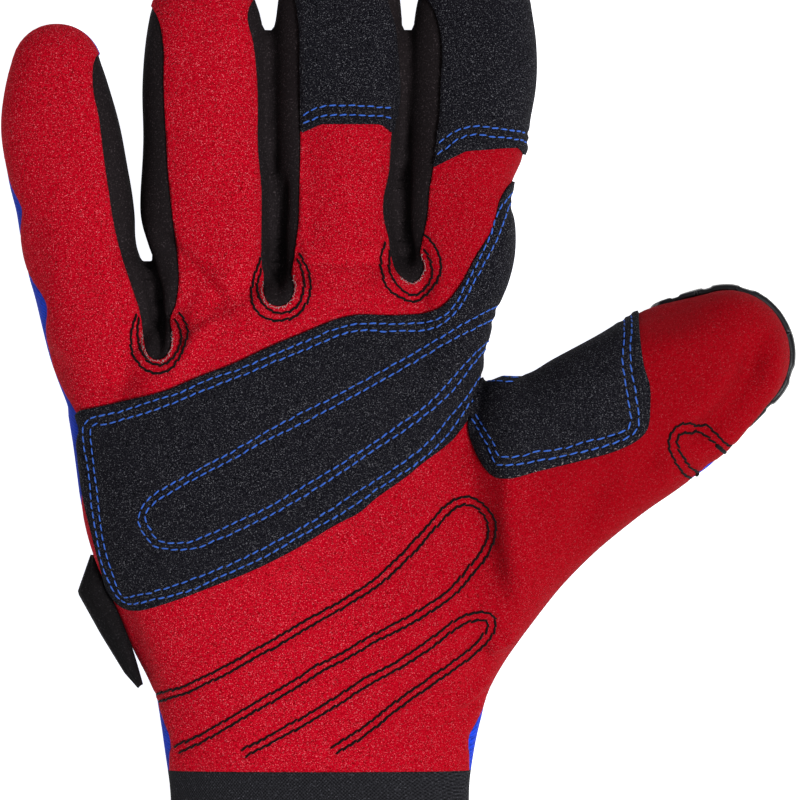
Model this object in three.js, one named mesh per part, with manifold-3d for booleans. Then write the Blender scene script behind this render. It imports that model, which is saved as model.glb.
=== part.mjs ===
// Impact glove for a right hand, filled out as if worn and lying on its back, palm up.
// Millimetres, +Z up. +X points to the thumb, +Y to the fingertips, and z = 0 is the surface
// that it lies on. The origin is the middle of the glove's length and breadth on that surface.

import * as THREE from "three";
import { mergeVertices } from "three/addons/utils/BufferGeometryUtils.js";
import Module from "manifold-3d";

const wasm = await Module();
wasm.setup();

// Driving dimensions
const CUFF_END = -125;
const CUFF_SEAM = -85;
const WALL = 2;
const GAP = 0.3;
const PATCH_THICKNESS = 1.1;
const BINDING_THICKNESS = 1.2;
const BINDING_WIDTH = 8;
const REACH = 400;
const ROUNDNESS = 2.5;
const TIP_ANGLES = [28, 54, 76].map(THREE.MathUtils.degToRad);

// Points round a section and sections along a piece, outside and inside the wall
const OUTSIDE = { handSides: 24, handRows: 12, digitSides: 12, digitRows: 8 };
const INSIDE = { handSides: 12, handRows: 8, digitSides: 10, digitRows: 6 };

// The web between the fingers is a shallow arc, highest beside the middle finger
const WEB_TOP = 45;
const WEB_MIDDLE = 3;
const WEB_BEND = 0.0042;
const WEB_ROUND = 10;

// Black strips between the fingers start above the back panel
const FOURCHETTE_LOW = 9;

// Rows of numbers under named columns, as one object for each row
const table = (columns, ...rows) =>
  rows.map((row) => Object.fromEntries(columns.map((name, i) => [name, row[i]])));

// Hand from the cuff's end (at = 0) to the web (at = 1): both sides, back, palm and palm hollow
const HAND = table(
  ["at", "left", "right", "low", "high", "cup"],
  [0.0, -58.8, 20.0, 1.2, 34, 0.0],
  [0.12, -58.0, 18.5, 1.4, 32, 0.0],
  [0.25, -57.5, 17.5, 2.0, 32, 0.0],
  [0.33, -58.8, 19.5, 2.6, 33, 0.0],
  [0.42, -62.6, 23.8, 3.2, 36, 0.5],
  [0.55, -69.6, 30.5, 4.0, 39, 1.5],
  [0.7, -76.5, 30.5, 4.0, 39, 2.2],
  [0.8, -79.4, 26.0, 4.0, 38, 1.8],
  [0.87, -80.6, 20.3, 4.0, 37, 1.2],
  [0.93, -81.6, 20.6, 4.0, 35.5, 0.6],
  [1.0, -83.0, 24.0, 4.0, 34, 0.0],
);

// Fingers from inside the hand to where their tips start to round off, with the tip's own end
const SECTION = ["at", "left", "right", "low", "high"];
const FINGERS = {
  little: {
    tip: 102,
    round: 12,
    rows: table(
      SECTION,
      [-10, -78.5, -57.5, 6, 31],
      [7.5, -83.6, -58.8, 5, 31],
      [15, -86.8, -59.5, 4.5, 31],
      [25, -89.3, -60.5, 4.5, 30.5],
      [35, -91.8, -62.3, 4.5, 29.5],
      [45, -94.6, -64.6, 4.5, 29],
      [53.8, -95.8, -66, 4.5, 28.5],
      [62.5, -98, -67.3, 4.8, 28],
      [76.3, -100, -69.5, 5, 27],
      [85.5, -99, -72.1, 5.5, 26],
      [92, -97.5, -74.2, 6, 25],
    ),
  },
  ring: {
    tip: 117.5,
    round: 14,
    rows: table(
      SECTION,
      [0, -58.4, -30, 6, 33],
      [12.5, -58.8, -30, 5, 33],
      [27.5, -59.8, -30.3, 4, 33],
      [37.5, -61.9, -30.8, 4, 32.5],
      [46, -63.9, -31.7, 4, 32],
      [58.8, -64.5, -31.8, 4.2, 31],
      [72, -64.5, -32.7, 4.4, 30],
      [85.5, -65, -33.1, 4.7, 29],
      [100, -63.8, -33.6, 5.2, 27.5],
      [107, -62.5, -35, 5.6, 26.5],
    ),
  },
  middle: {
    tip: 123.9,
    round: 14,
    rows: table(
      SECTION,
      [10, -29.6, 1.2, 6, 33],
      [30, -29.8, 1, 4, 33],
      [42, -30.3, 0.8, 4, 33],
      [50, -31, -0.6, 4, 32.5],
      [58.8, -31.1, -0.9, 4, 32],
      [72, -31.9, 0.5, 4.2, 31],
      [85.5, -32, 1, 4.5, 29.5],
      [104, -31.5, 1, 5.2, 27.5],
      [113, -30.3, 0, 5.8, 26.5],
    ),
  },
  index: {
    tip: 118.2,
    round: 14,
    rows: table(
      SECTION,
      [5, 1, 19, 6, 33],
      [15, 1.2, 19.4, 4.8, 33.5],
      [21, 1.4, 20.9, 4.5, 33.5],
      [30, 1.4, 23.2, 4, 33.5],
      [37, 1.4, 26.1, 4, 33.5],
      [43, 1.3, 27.6, 4, 33],
      [50, 0.3, 27.9, 4, 32.5],
      [57, -0.1, 27.1, 4, 32],
      [62, 0.2, 28, 4.1, 31.6],
      [67, 0.9, 30.3, 4.2, 31.2],
      [77.5, 1.5, 31.6, 4.5, 30],
      [85.5, 1.8, 33, 4.7, 29],
      [98, 2.4, 33, 5.2, 27.5],
      [105, 3.4, 32, 5.7, 26.5],
    ),
  },
};

// Thumb along its own axis, which leaves the hand at an angle; left is its side by the fingers
const THUMB_ROOT = new THREE.Vector2(25, -22.5);
const THUMB_TURN = THREE.MathUtils.degToRad(-62.4);
const THUMB = {
  tip: 85.4,
  round: 15.4,
  rows: table(
    SECTION,
    [-27, -10, 39.5, 8, 29],
    [-16, -22, 32.5, 6.5, 34],
    [-5, -26, 26.7, 5.5, 37],
    [5, -29, 22.1, 5, 38],
    [16, -31.3, 18.7, 5, 38],
    [22, -28.4, 17.2, 5, 37.5],
    [30, -28.5, 15.5, 5, 36.5],
    [45, -28.9, 13.5, 5, 35],
    [55, -30, 11.6, 5.2, 34],
    [66, -28, 7.5, 5.6, 32],
    [72, -26.6, 5.2, 6, 30.5],
  ),
};

// Folds pressed into the palm side, from one end to the other, with their depth and half width
const FOLDS = table(
  ["x0", "y0", "z0", "x1", "y1", "z1", "depth", "half"],
  [25.5, -12.5, 37.6, 31.5, -40, 33.4, 1.6, 5],
  [-66, 22.5, 29, -53, 14.5, 34, 0.9, 6],
);

// Side seam's height over the surface, from the cuff to the fingertips
const SEAM = table(["y", "z"], [-130, 16], [-50, 20], [0, 20.5], [30, 18], [130, 15]);

// Openings of the palm side that the black strips fill: down one finger, round the crotch, up the next
const CROTCHES = {
  fourchette_little_ring: [
    [-71, 98], [-76, 93], [-76.5, 85.5], [-74, 68.5], [-71, 51], [-67, 37], [-64, 25], [-63.5, 19.5],
    [-60.5, 17.5], [-58, 19], [-57, 25], [-55, 37], [-57, 54], [-58.5, 75.5], [-59, 96], [-61, 104], [-67, 110],
  ],
  fourchette_ring_middle: [
    [-34, 112], [-38, 104], [-36.5, 96], [-35.5, 85.5], [-34.5, 60], [-34.5, 43], [-33.5, 35],
    [-30, 31], [-26.5, 35], [-27.3, 41], [-25.3, 51], [-25, 74], [-25, 100], [-26.5, 109], [-32.5, 117],
  ],
  fourchette_middle_index: [
    [1.7, 117], [-3.5, 109], [-1.5, 100], [-0.5, 85.5], [-2.7, 64.5], [-4, 55], [-3, 46.5], [-1.8, 41],
    [3, 36.5], [6, 41], [5.4, 46], [7, 53], [8, 65.5], [10, 79], [10.4, 98], [8, 106], [2.4, 111],
  ],
};

// Grip patches on the palm side; where a patch turns over a side, its outline runs past the glove
const PATCHES = {
  palm_patch: [
    [-80.5, 4], [-76.5, 5.5], [-58, 10], [-41.5, 16.5], [-25, 24], [-15.5, 27.5], [-10.5, 28.5],
    [7.5, 29.2], [11, 31], [19, 43.5], [23, 50], [25, 58], [30, 63.5], [38, 63.5], [38, 32],
    [28, 21.5], [23.5, 18], [20.6, 15.4], [20, 13.8], [16.3, 1.6], [6.5, -7.5], [-6, -17], [-16, -23.6],
    [-36.5, -35], [-57, -43], [-65, -44.6], [-69, -44], [-72, -40.5], [-76.5, -26.5], [-80, -5],
  ],
  thumb_patch: [
    [17, 1.5], [18.5, -4], [22, -10], [24, -11.5], [27, -12], [44.5, -7.5], [59, -2.5], [61.5, 0.5],
    [62, 8], [60, 23], [59.6, 29], [61, 37], [50, 35], [37, 28], [28.5, 19.8], [24.5, 17.2], [21.1, 15],
    [20.6, 13.6],
  ],
  middle_tip_patch: [[-24, 74], [-19.5, 76], [-4.5, 76], [-2.6, 74], [-1, 86], [-2, 100], [-4, 109], [2.5, 120],
    [2.5, 130], [-34, 130], [-34, 121], [-25.8, 109], [-24.4, 100]],
  index_tip_patch: [[8.9, 65.8], [16.5, 69.2], [29.5, 70.5], [31.5, 68.5], [40, 68.5], [40, 126], [0, 126],
    [2, 114], [9, 106.4], [11, 98], [10.7, 79]],
};

// Label folded in half and sewn into the side seam
const TAG_OUTLINE = [[-77, -31.5], [-79, -37], [-80.2, -40.3], [-72, -55], [-66, -64], [-64.6, -63.5], [-66.4, -57.5]];
const TAG_LOW = 19.2;
const TAG_THICKNESS = 1;

// Moulded guards: thin base, and pads that stand out further and rest flat on the surface
const GUARD_BASE = 2.4;
const GUARD_PAD = 5;
const GUARD_TOP = 7.5;
const GUARD_INSET = 5.5;
const KNUCKLES = table(
  ["left", "right", "low", "high"],
  [-76, -60, -14, 8],
  [-56, -34, -8, 20],
  [-29, -4, -5, 25],
  [1, 20, -10, 22],
);
const KNUCKLE_MARGIN = 3;
const KNUCKLE_CORNER = 5;
const FINGER_GUARDS = table(
  ["finger", "start", "end", "pads"],
  ["little", 28, 92, 3],
  ["ring", 36, 108, 3],
  ["middle", 44, 114, 3],
  ["index", 40, 108, 3],
);
const PAD_SHARE = 0.72;

// Thumb guard wraps the thumb's tip and back below the seam, with ribs across it
const THUMB_GUARD_START = 42;
const THUMB_GUARD_EDGE = table(["y", "z"], [THUMB_GUARD_START, 8], [55, 12], [76, 19], [REACH, 19]);
const THUMB_GUARD_BASE = 1.7;
const THUMB_RIB = 2.5;
const THUMB_RIB_COUNT = 6;
const THUMB_RIB_PITCH = 8;
const THUMB_RIB_WIDTH = 5;

// Numbers from first to last in equal steps
const spaced = (first, last, count) =>
  Array.from({ length: count }, (_, i) => THREE.MathUtils.lerp(first, last, i / (count - 1)));

// Reads a table smoothly at any place along its first column
function reader(rows) {
  const [key, ...names] = Object.keys(rows[0]);
  const values = rows.flatMap((row) => names.map((name) => row[name]));
  const curve = new THREE.CubicInterpolant(rows.map((row) => row[key]), values, names.length);
  return (at) => {
    const found = curve.evaluate(at);
    return Object.fromEntries(names.map((name, i) => [name, found[i]]));
  };
}

// Solid of the three.js geometry, with its shared vertices merged
function solid(geometry) {
  geometry.deleteAttribute("normal");
  geometry.deleteAttribute("uv");
  const merged = mergeVertices(geometry, 1e-5);
  return new wasm.Manifold(new wasm.Mesh({
    numProp: 3,
    vertProperties: new Float32Array(merged.attributes.position.array),
    triVerts: new Uint32Array(merged.index.array),
  }));
}

// Closed skin over rings of points; each end is closed by strips from its top to its underside
function skin(rings) {
  const sides = rings[0].length;
  const index = [];
  for (let row = 0; row + 1 < rings.length; row++) {
    for (let side = 0; side < sides; side++) {
      const here = row * sides + side;
      const beside = row * sides + ((side + 1) % sides);
      index.push(here, here + sides, beside, beside, here + sides, beside + sides);
    }
  }
  const last = (rings.length - 1) * sides;
  for (let side = 0; side < sides / 2; side++) {
    const under = (sides - side) % sides;
    const [next, nextUnder] = [side + 1, sides - side - 1];
    if (under !== side) index.push(side, next, under, last + side, last + under, last + next);
    if (next !== nextUnder) index.push(next, nextUnder, under, last + next, last + under, last + nextUnder);
  }
  const geometry = new THREE.BufferGeometry().setFromPoints(rings.flat());
  geometry.setIndex(index);
  return solid(geometry);
}

// Ring of a rounded oblong section, grown outwards; share shrinks it as the tip rounds off
function ring(row, grow, sides, place, share = 1) {
  const middle = new THREE.Vector2((row.left + row.right) / 2, (row.low + row.high) / 2);
  const half = new THREE.Vector2((row.right - row.left) / 2 + grow, (row.high - row.low) / 2 + grow);
  const power = (value) => Math.sign(value) * Math.abs(value) ** (2 / ROUNDNESS);
  return spaced(0, 2 * Math.PI, sides + 1).slice(0, -1).map((angle) => {
    const across = power(Math.cos(angle));
    const up = power(Math.sin(angle));
    const hollow = up > 0 ? (row.cup ?? 0) * (1 - across * across) ** 2 : 0;
    return place(middle.x + half.x * across * share, middle.y + (half.y * up - hollow) * share);
  });
}

// The hand between cuff and web; its inside runs past the cuff's end so that the cuff is open
function hand(grow) {
  const read = reader(HAND);
  const start = CUFF_END + Math.min(grow, 0) * 2;
  const web = (x) => WEB_TOP - WEB_BEND * (x - WEB_MIDDLE) ** 2 - WEB_ROUND;
  const { handSides, handRows } = grow < 0 ? INSIDE : OUTSIDE;
  const rings = spaced(0, 1, handRows).map((at) =>
    ring(read(at), grow, handSides, (x, z) =>
      new THREE.Vector3(x, THREE.MathUtils.lerp(start, web(x), at), z)));
  const last = read(1);
  const edges = TIP_ANGLES.map((angle) => {
    const inset = (WEB_ROUND + grow) * (1 - Math.cos(angle));
    const row = { ...last, left: last.left + inset, right: last.right - inset };
    row.low += ((last.high - last.low) / 2) * (1 - Math.cos(angle));
    row.high -= ((last.high - last.low) / 2) * (1 - Math.cos(angle));
    return ring(row, grow * Math.cos(angle), handSides, (x, z) =>
      new THREE.Vector3(x, web(x) + (WEB_ROUND + grow) * Math.sin(angle), z));
  });
  return skin([...rings, ...edges]);
}

// A finger or the thumb along +Y, with a round tip
function digit({ rows, tip, round }, grow) {
  const read = reader(rows);
  const bend = tip - round;
  const place = (y) => (x, z) => new THREE.Vector3(x, y, z);
  const { digitSides, digitRows } = grow < 0 ? INSIDE : OUTSIDE;
  const rings = spaced(rows[0].at, bend, digitRows).map((y) => ring(read(y), grow, digitSides, place(y)));
  const caps = TIP_ANGLES.map((angle) => {
    const y = bend + (round + grow) * Math.sin(angle);
    return ring(read(y), grow, digitSides, place(y), Math.cos(angle));
  });
  return skin([...rings, ...caps]);
}

// A solid from the thumb's own frame, set at its place beside the hand
function atThumb(part) {
  return part.rotate([0, 0, THREE.MathUtils.radToDeg(THUMB_TURN)])
    .translate([THUMB_ROOT.x, THUMB_ROOT.y, 0]);
}

// Long round tool that presses one fold; its growth is the reverse of the glove's
function fold({ x0, y0, z0, x1, y1, z1, depth, half }, grow) {
  const length = Math.hypot(x1 - x0, y1 - y0, z1 - z0);
  const tool = new THREE.SphereGeometry(1, 10, 8);
  tool.scale(length / 2 - grow, half - grow, half - grow);
  tool.rotateY(-Math.asin((z1 - z0) / length));
  tool.rotateZ(Math.atan2(y1 - y0, x1 - x0));
  tool.translate((x0 + x1) / 2, (y0 + y1) / 2, (z0 + z1) / 2 + half - depth);
  return solid(tool);
}

// The whole glove's outer form, grown outwards, or inwards below zero
function form(grow) {
  const digits = Object.values(FINGERS).map((finger) => digit(finger, grow));
  const parts = [hand(grow), ...digits, atThumb(digit(THUMB, grow))];
  const whole = parts.reduce((sum, part) => sum.add(part));
  return FOLDS.reduce((rest, row) => rest.subtract(fold(row, grow)), whole);
}

// Outline moved outwards by a distance, keeping its corners
function offset(outline, distance) {
  const points = outline.map(([x, y]) => new THREE.Vector2(x, y));
  const turn = THREE.ShapeUtils.isClockWise(points) ? -1 : 1;
  return points.map((point, i) => {
    const before = point.clone().sub(points.at(i - 1)).normalize();
    const after = points[(i + 1) % points.length].clone().sub(point).normalize();
    const normal = before.clone().add(after).normalize();
    const reach = (distance * turn) / Math.max(0.5, normal.dot(after));
    return [point.x + normal.y * reach, point.y - normal.x * reach];
  });
}

// Upright prism over an outline
function prism(outline, low, high) {
  const shape = new THREE.Shape(outline.map(([x, y]) => new THREE.Vector2(x, y)));
  const geometry = new THREE.ExtrudeGeometry(shape, { depth: high - low, bevelEnabled: false });
  geometry.translate(0, 0, low);
  return solid(geometry);
}

// Solid across the whole glove, from an outline of lengths along +Y and heights
function across(outline) {
  const shape = new THREE.Shape(outline.map(([y, z]) => new THREE.Vector2(y, z)));
  const geometry = new THREE.ExtrudeGeometry(shape, { depth: 2 * REACH, bevelEnabled: false });
  const axes = [new THREE.Vector3(0, 1, 0), new THREE.Vector3(0, 0, 1), new THREE.Vector3(1, 0, 0)];
  geometry.applyMatrix4(new THREE.Matrix4().makeBasis(...axes).setPosition(-REACH, 0, 0));
  return solid(geometry);
}

// Everything above the side seam, raised by a height
const aboveSeam = (raise) =>
  across([...SEAM.map(({ y, z }) => [y, z + raise]), [REACH, REACH], [-REACH, REACH]]);

// Block between two corners
function block(x0, x1, y0, y1, z0, z1) {
  const geometry = new THREE.BoxGeometry(x1 - x0, y1 - y0, z1 - z0);
  geometry.translate((x0 + x1) / 2, (y0 + y1) / 2, (z0 + z1) / 2);
  return solid(geometry);
}

// Guard on one finger's back: base strip with raised pads in a row along the finger
function fingerGuard({ finger, start, end, pads }, skinSolid) {
  const digitForm = FINGERS[finger];
  const read = reader(digitForm.rows);
  const edge = (side, inset) => spaced(start, end, 6).map((y) => [read(y)[side] + inset, y]);
  const outline = [...edge("left", GUARD_INSET), ...edge("right", -GUARD_INSET).reverse()];
  const strip = prism(outline, 0, GUARD_TOP);
  const pitch = (end - start) / pads;
  const rows = spaced(start, end - pitch, pads).map((y) =>
    block(-REACH, REACH, y, y + pitch * PAD_SHARE, -REACH, REACH));
  const raised = rows.reduce((sum, row) => sum.add(row)).intersect(digit(digitForm, GUARD_PAD));
  return digit(digitForm, GUARD_BASE).add(raised).intersect(strip).subtract(skinSolid);
}

// Oblong with its corners cut off
function chamfered({ left, right, low, high }, margin) {
  const [x0, x1, y0, y1] = [left - margin, right + margin, low - margin, high + margin];
  const cut = KNUCKLE_CORNER;
  return [
    [x0 + cut, y0], [x1 - cut, y0], [x1, y0 + cut], [x1, y1 - cut],
    [x1 - cut, y1], [x0 + cut, y1], [x0, y1 - cut], [x0, y0 + cut],
  ];
}

// Guard over the knuckles: one base plate with a raised pad for each knuckle
function knuckleGuard(skinSolid) {
  const plates = KNUCKLES.map((row) => prism(chamfered(row, KNUCKLE_MARGIN), 0, GUARD_TOP));
  const pads = KNUCKLES.map((row) => prism(chamfered(row, 0), 0, GUARD_TOP));
  const base = hand(GUARD_BASE).intersect(plates.reduce((sum, plate) => sum.add(plate)));
  const raised = hand(GUARD_PAD).intersect(pads.reduce((sum, pad) => sum.add(pad)));
  return base.add(raised).subtract(skinSolid);
}

// Guard round the thumb's tip and back, with ribs across the thumb
function thumbGuard(skinSolid) {
  const edge = THUMB_GUARD_EDGE.map(({ y, z }) => [y, z]);
  const low = across([[REACH, 0], [THUMB_GUARD_START, 0], ...edge].reverse());
  const lastRib = THUMB_GUARD_START + THUMB_RIB_PITCH * (THUMB_RIB_COUNT - 1);
  const ribs = spaced(THUMB_GUARD_START, lastRib, THUMB_RIB_COUNT).map((y) =>
    block(-REACH, REACH, y, y + THUMB_RIB_WIDTH, -REACH, REACH));
  const raised = ribs.reduce((sum, rib) => sum.add(rib)).intersect(digit(THUMB, THUMB_RIB));
  return atThumb(digit(THUMB, THUMB_GUARD_BASE).add(raised).intersect(low)).subtract(skinSolid);
}

// The glove's wall, and the skin that everything sewn or moulded onto it stands clear of
const outer = form(0);
const wall = outer.subtract(form(-WALL));
const clear = form(GAP);
const patchSkin = form(GAP + PATCH_THICKNESS).subtract(clear);

// Regions that divide the wall into its panels
const high = 60;
const cuffRegion = (shift) => block(-REACH, REACH, -REACH, CUFF_SEAM + shift, -REACH, REACH);
const openings = Object.entries(CROTCHES).map(([name, outline]) => ({
  name,
  strip: prism(outline, FOURCHETTE_LOW, high),
  cut: prism(offset(outline, GAP), FOURCHETTE_LOW - GAP, high),
}));
const cutAll = openings.map(({ cut }) => cut).reduce((sum, cut) => sum.add(cut));
const handWall = wall.subtract(cutAll).subtract(cuffRegion(GAP));

const RED_SUEDE = { color: "#b8122b", roughness: 0.95, metalness: 0 };
const BLACK_SUEDE = { color: "#242228", roughness: 0.9, metalness: 0 };
const BLACK_CLOTH = { color: "#1a1617", roughness: 0.95, metalness: 0 };
const BLUE_KNIT = { color: "#0a32be", roughness: 0.9, metalness: 0 };
const BLACK_RUBBER = { color: "#15151a", roughness: 0.4, metalness: 0 };

const glove = new THREE.Group();

// Adds one solid to the glove as a mesh of its own
function add(name, part, finish) {
  const { vertProperties, triVerts } = part.getMesh();
  const geometry = new THREE.BufferGeometry();
  geometry.setAttribute("position", new THREE.BufferAttribute(vertProperties, 3));
  geometry.setIndex(new THREE.BufferAttribute(triVerts, 1));
  const mesh = new THREE.Mesh(geometry, new THREE.MeshStandardMaterial(finish));
  mesh.name = name;
  glove.add(mesh);
}

add("palm_panel", handWall.intersect(aboveSeam(0)), RED_SUEDE);
add("back_panel", handWall.subtract(aboveSeam(-GAP)), BLUE_KNIT);
openings.forEach(({ name, strip }) => add(name, wall.intersect(strip), BLACK_CLOTH));

for (const [name, outline] of Object.entries(PATCHES)) {
  const region = prism(outline, 0, high).intersect(aboveSeam(GAP));
  add(name, patchSkin.intersect(region), BLACK_SUEDE);
}

const binding = block(-REACH, REACH, CUFF_END, CUFF_END + BINDING_WIDTH, 0, REACH);
add("cuff_band", wall.intersect(cuffRegion(0)), BLACK_CLOTH);
add("cuff_binding", form(BINDING_THICKNESS).subtract(form(GAP)).intersect(binding), BLACK_CLOTH);
add("side_tag", prism(TAG_OUTLINE, TAG_LOW, TAG_LOW + TAG_THICKNESS).subtract(clear), BLACK_CLOTH);

add("knuckle_guard", knuckleGuard(clear), BLACK_RUBBER);
FINGER_GUARDS.forEach((row) => add(`guard_${row.finger}`, fingerGuard(row, clear), BLACK_RUBBER));
add("thumb_guard", thumbGuard(clear), BLACK_RUBBER);

export default glove;
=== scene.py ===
"""Looks of a right-hand impact glove, lying on its back with the palm up.

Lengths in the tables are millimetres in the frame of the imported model: +X to the thumb,
+Y to the fingertips, +Z up out of the palm, and z = 0 at the surface that the glove lies on.
"""

import logging
import math
from dataclasses import dataclass, field
from enum import Enum
from typing import Callable, Iterable, Sequence

import bmesh
import bpy
import numpy as np
from mathutils import Matrix, Vector
from mathutils.bvhtree import BVHTree


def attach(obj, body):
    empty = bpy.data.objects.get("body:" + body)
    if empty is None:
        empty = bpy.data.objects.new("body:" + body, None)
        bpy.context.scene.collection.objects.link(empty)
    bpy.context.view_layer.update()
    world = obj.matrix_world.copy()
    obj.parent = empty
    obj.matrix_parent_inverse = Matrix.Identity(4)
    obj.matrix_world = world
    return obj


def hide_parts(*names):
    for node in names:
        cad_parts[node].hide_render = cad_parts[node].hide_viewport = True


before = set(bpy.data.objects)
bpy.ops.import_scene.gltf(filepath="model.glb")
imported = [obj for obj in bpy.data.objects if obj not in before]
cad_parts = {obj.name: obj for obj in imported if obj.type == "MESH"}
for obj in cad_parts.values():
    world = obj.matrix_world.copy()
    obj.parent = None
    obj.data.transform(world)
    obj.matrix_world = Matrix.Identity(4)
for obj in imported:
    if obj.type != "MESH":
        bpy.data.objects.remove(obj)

LOG = logging.getLogger("impact_glove")
MM = 0.001

Point = tuple[float, float]
Field = Callable[[np.ndarray], np.ndarray]

# Sizes shared by several sub-assemblies
CUFF_END = -125.0
CUFF_SEAM = -85.0
WALL = 1.9
ROUNDNESS = 2.5
WEB_TOP = 45.0
WEB_MIDDLE = 3.0
WEB_BEND = 0.0042
WEB_ROUND = 10.0
FOURCHETTE_LOW = 9.0
THUMB_ROOT = (25.0, -22.5)
THUMB_TURN = math.radians(-62.4)

# Points drawn between two corners of a plan curve, and points measured from a curve at a time
CURVE_STEPS = 12
NEAR_POINTS = 4000

# How near to a cut a vertex counts as on it, in millimetres, and the least share of an edge that is cut off
SNAP = 0.02

# How far past a cut-out's outline its faces are looked at
CUT_MARGIN = 3.0


@dataclass(frozen=True)
class Section:
    """One cross section of a loft: its place, both sides, underside, top and the hollow in its top."""

    at: float
    left: float
    right: float
    low: float
    high: float
    cup: float = 0.0


def sections(*rows: Sequence[float]) -> tuple[Section, ...]:
    """Sections from rows whose columns are at, left, right, low, high and, where it has one, cup."""
    return tuple(Section(*row) for row in rows)


HAND = sections(
    (0.0, -58.8, 20.0, 1.2, 34, 0.0),
    (0.12, -58.0, 18.5, 1.4, 32, 0.0),
    (0.25, -57.5, 17.5, 2.0, 32, 0.0),
    (0.33, -58.8, 19.5, 2.6, 33, 0.0),
    (0.42, -61.1, 23.8, 3.2, 36, 0.5),
    (0.55, -69.6, 30.5, 4.0, 39, 1.5),
    (0.7, -76.5, 30.5, 4.0, 39, 2.2),
    (0.8, -79.4, 26.0, 4.0, 38, 1.8),
    (0.87, -80.6, 20.3, 4.0, 37, 1.2),
    (0.93, -81.6, 20.6, 4.0, 35.5, 0.6),
    (1.0, -83.0, 24.0, 4.0, 34, 0.0),
)


@dataclass(frozen=True)
class Digit:
    """A finger or the thumb: its sections along +Y, its tip's end and how long the tip's rounding is."""

    rows: tuple[Section, ...]
    tip: float
    rounding: float


LITTLE = Digit(
    sections(
        (-10, -78.5, -57.5, 6, 31),
        (7.5, -83.6, -58.8, 5, 31),
        (15, -86.8, -59.5, 4.5, 31),
        (25, -89.3, -60.5, 4.5, 30.5),
        (35, -91.8, -61, 4.5, 29.5),
        (40, -93.4, -62.6, 4.5, 29.2),
        (44, -94.4, -66, 4.5, 29),
        (47, -94.9, -66.9, 4.5, 28.9),
        (53.8, -95.8, -67.4, 4.5, 28.5),
        (62.5, -98, -67.9, 4.8, 28),
        (76.3, -100, -69.6, 5, 27),
        (85.5, -99, -72.1, 5.5, 26),
        (92, -97.5, -74.2, 6, 25),
    ),
    tip=102,
    rounding=12,
)
RING = Digit(
    sections(
        (0, -58.4, -30, 6, 33),
        (12.5, -58.8, -30, 5, 33),
        (27.5, -59.8, -30.3, 4, 33),
        (37.5, -63, -30.8, 4, 32.5),
        (46, -63.4, -31.7, 4, 32),
        (58.8, -64, -31.8, 4.2, 31),
        (72, -64.5, -32.7, 4.4, 30),
        (85.5, -65, -33.1, 4.7, 29),
        (100, -63.8, -33.6, 5.2, 27.5),
        (107, -62.5, -35, 5.6, 26.5),
    ),
    tip=117.5,
    rounding=14,
)
MIDDLE = Digit(
    sections(
        (10, -29.6, 1.2, 6, 33),
        (30, -29.8, 1, 4, 33),
        (42, -30.3, 0.8, 4, 33),
        (50, -31, -0.6, 4, 32.5),
        (58.8, -31.1, -0.9, 4, 32),
        (72, -31.9, 0.5, 4.2, 31),
        (85.5, -32, 1, 4.5, 29.5),
        (104, -31.5, 1, 5.2, 27.5),
        (113, -30.3, 0, 5.8, 26.5),
    ),
    tip=123.9,
    rounding=14,
)
INDEX = Digit(
    sections(
        (5, 1, 19, 6, 33),
        (15, 1.2, 19.4, 4.8, 33.5),
        (21, 1.4, 20.9, 4.5, 33.5),
        (30, 1.4, 23.2, 4, 33.5),
        (37, 1.4, 26.1, 4, 33.5),
        (43, 1.3, 27.6, 4, 33),
        (50, 0.3, 27.9, 4, 32.5),
        (57, -0.1, 27.1, 4, 32),
        (62, 0.2, 28, 4.1, 31.6),
        (67, 0.9, 30.3, 4.2, 31.2),
        (77.5, 1.5, 31.6, 4.5, 30),
        (85.5, 1.8, 33, 4.7, 29),
        (98, 2.4, 33, 5.2, 27.5),
        (105, 3.4, 32, 5.7, 26.5),
    ),
    tip=118.2,
    rounding=14,
)
THUMB = Digit(
    sections(
        (-27, -10, 39.5, 8, 29),
        (-16, -22, 32.5, 6.5, 34),
        (-5, -26, 26.7, 5.5, 37),
        (5, -29, 22.1, 5, 38),
        (16, -31.3, 18.7, 5, 38),
        (22, -28.4, 17.2, 5, 37.5),
        (30, -28.5, 15.5, 5, 36.5),
        (45, -28.9, 13.5, 5, 35),
        (55, -30, 11.6, 5.2, 34),
        (66, -28, 7.5, 5.6, 32),
        (72, -26.6, 5.2, 6, 30.5),
    ),
    tip=85.4,
    rounding=15.4,
)


def hermite(at: np.ndarray, places: np.ndarray, values: np.ndarray) -> np.ndarray:
    """Smooth values between the rows of a table.

    Args:
        at: Places to read.
        places: Places of the rows, rising.
        values: Values of the rows.

    Returns:
        One value for each place, held level past both ends.
    """
    slopes = np.gradient(values, places)
    at = np.clip(at, places[0], places[-1])
    row = np.clip(np.searchsorted(places, at, side="right") - 1, 0, len(places) - 2)
    step = places[row + 1] - places[row]
    s = (at - places[row]) / step
    start = (1 + 2 * s) * (1 - s) ** 2 * values[row] + s * (1 - s) ** 2 * step * slopes[row]
    end = s**2 * (3 - 2 * s) * values[row + 1] + s**2 * (s - 1) * step * slopes[row + 1]
    return start + end


def read_sections(rows: Sequence[Section], at: np.ndarray) -> dict[str, np.ndarray]:
    """Every column of a section table at the given places."""
    places = np.array([row.at for row in rows], float)
    names = ("left", "right", "low", "high", "cup")
    columns = {name: np.array([getattr(row, name) for row in rows], float) for name in names}
    return {name: hermite(at, places, column) for name, column in columns.items()}


def smoothstep(low: float, high: float, value: np.ndarray) -> np.ndarray:
    """0 below low, 1 above high and an S curve between."""
    s = np.clip((value - low) / (high - low), 0.0, 1.0)
    return s * s * (3 - 2 * s)


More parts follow.
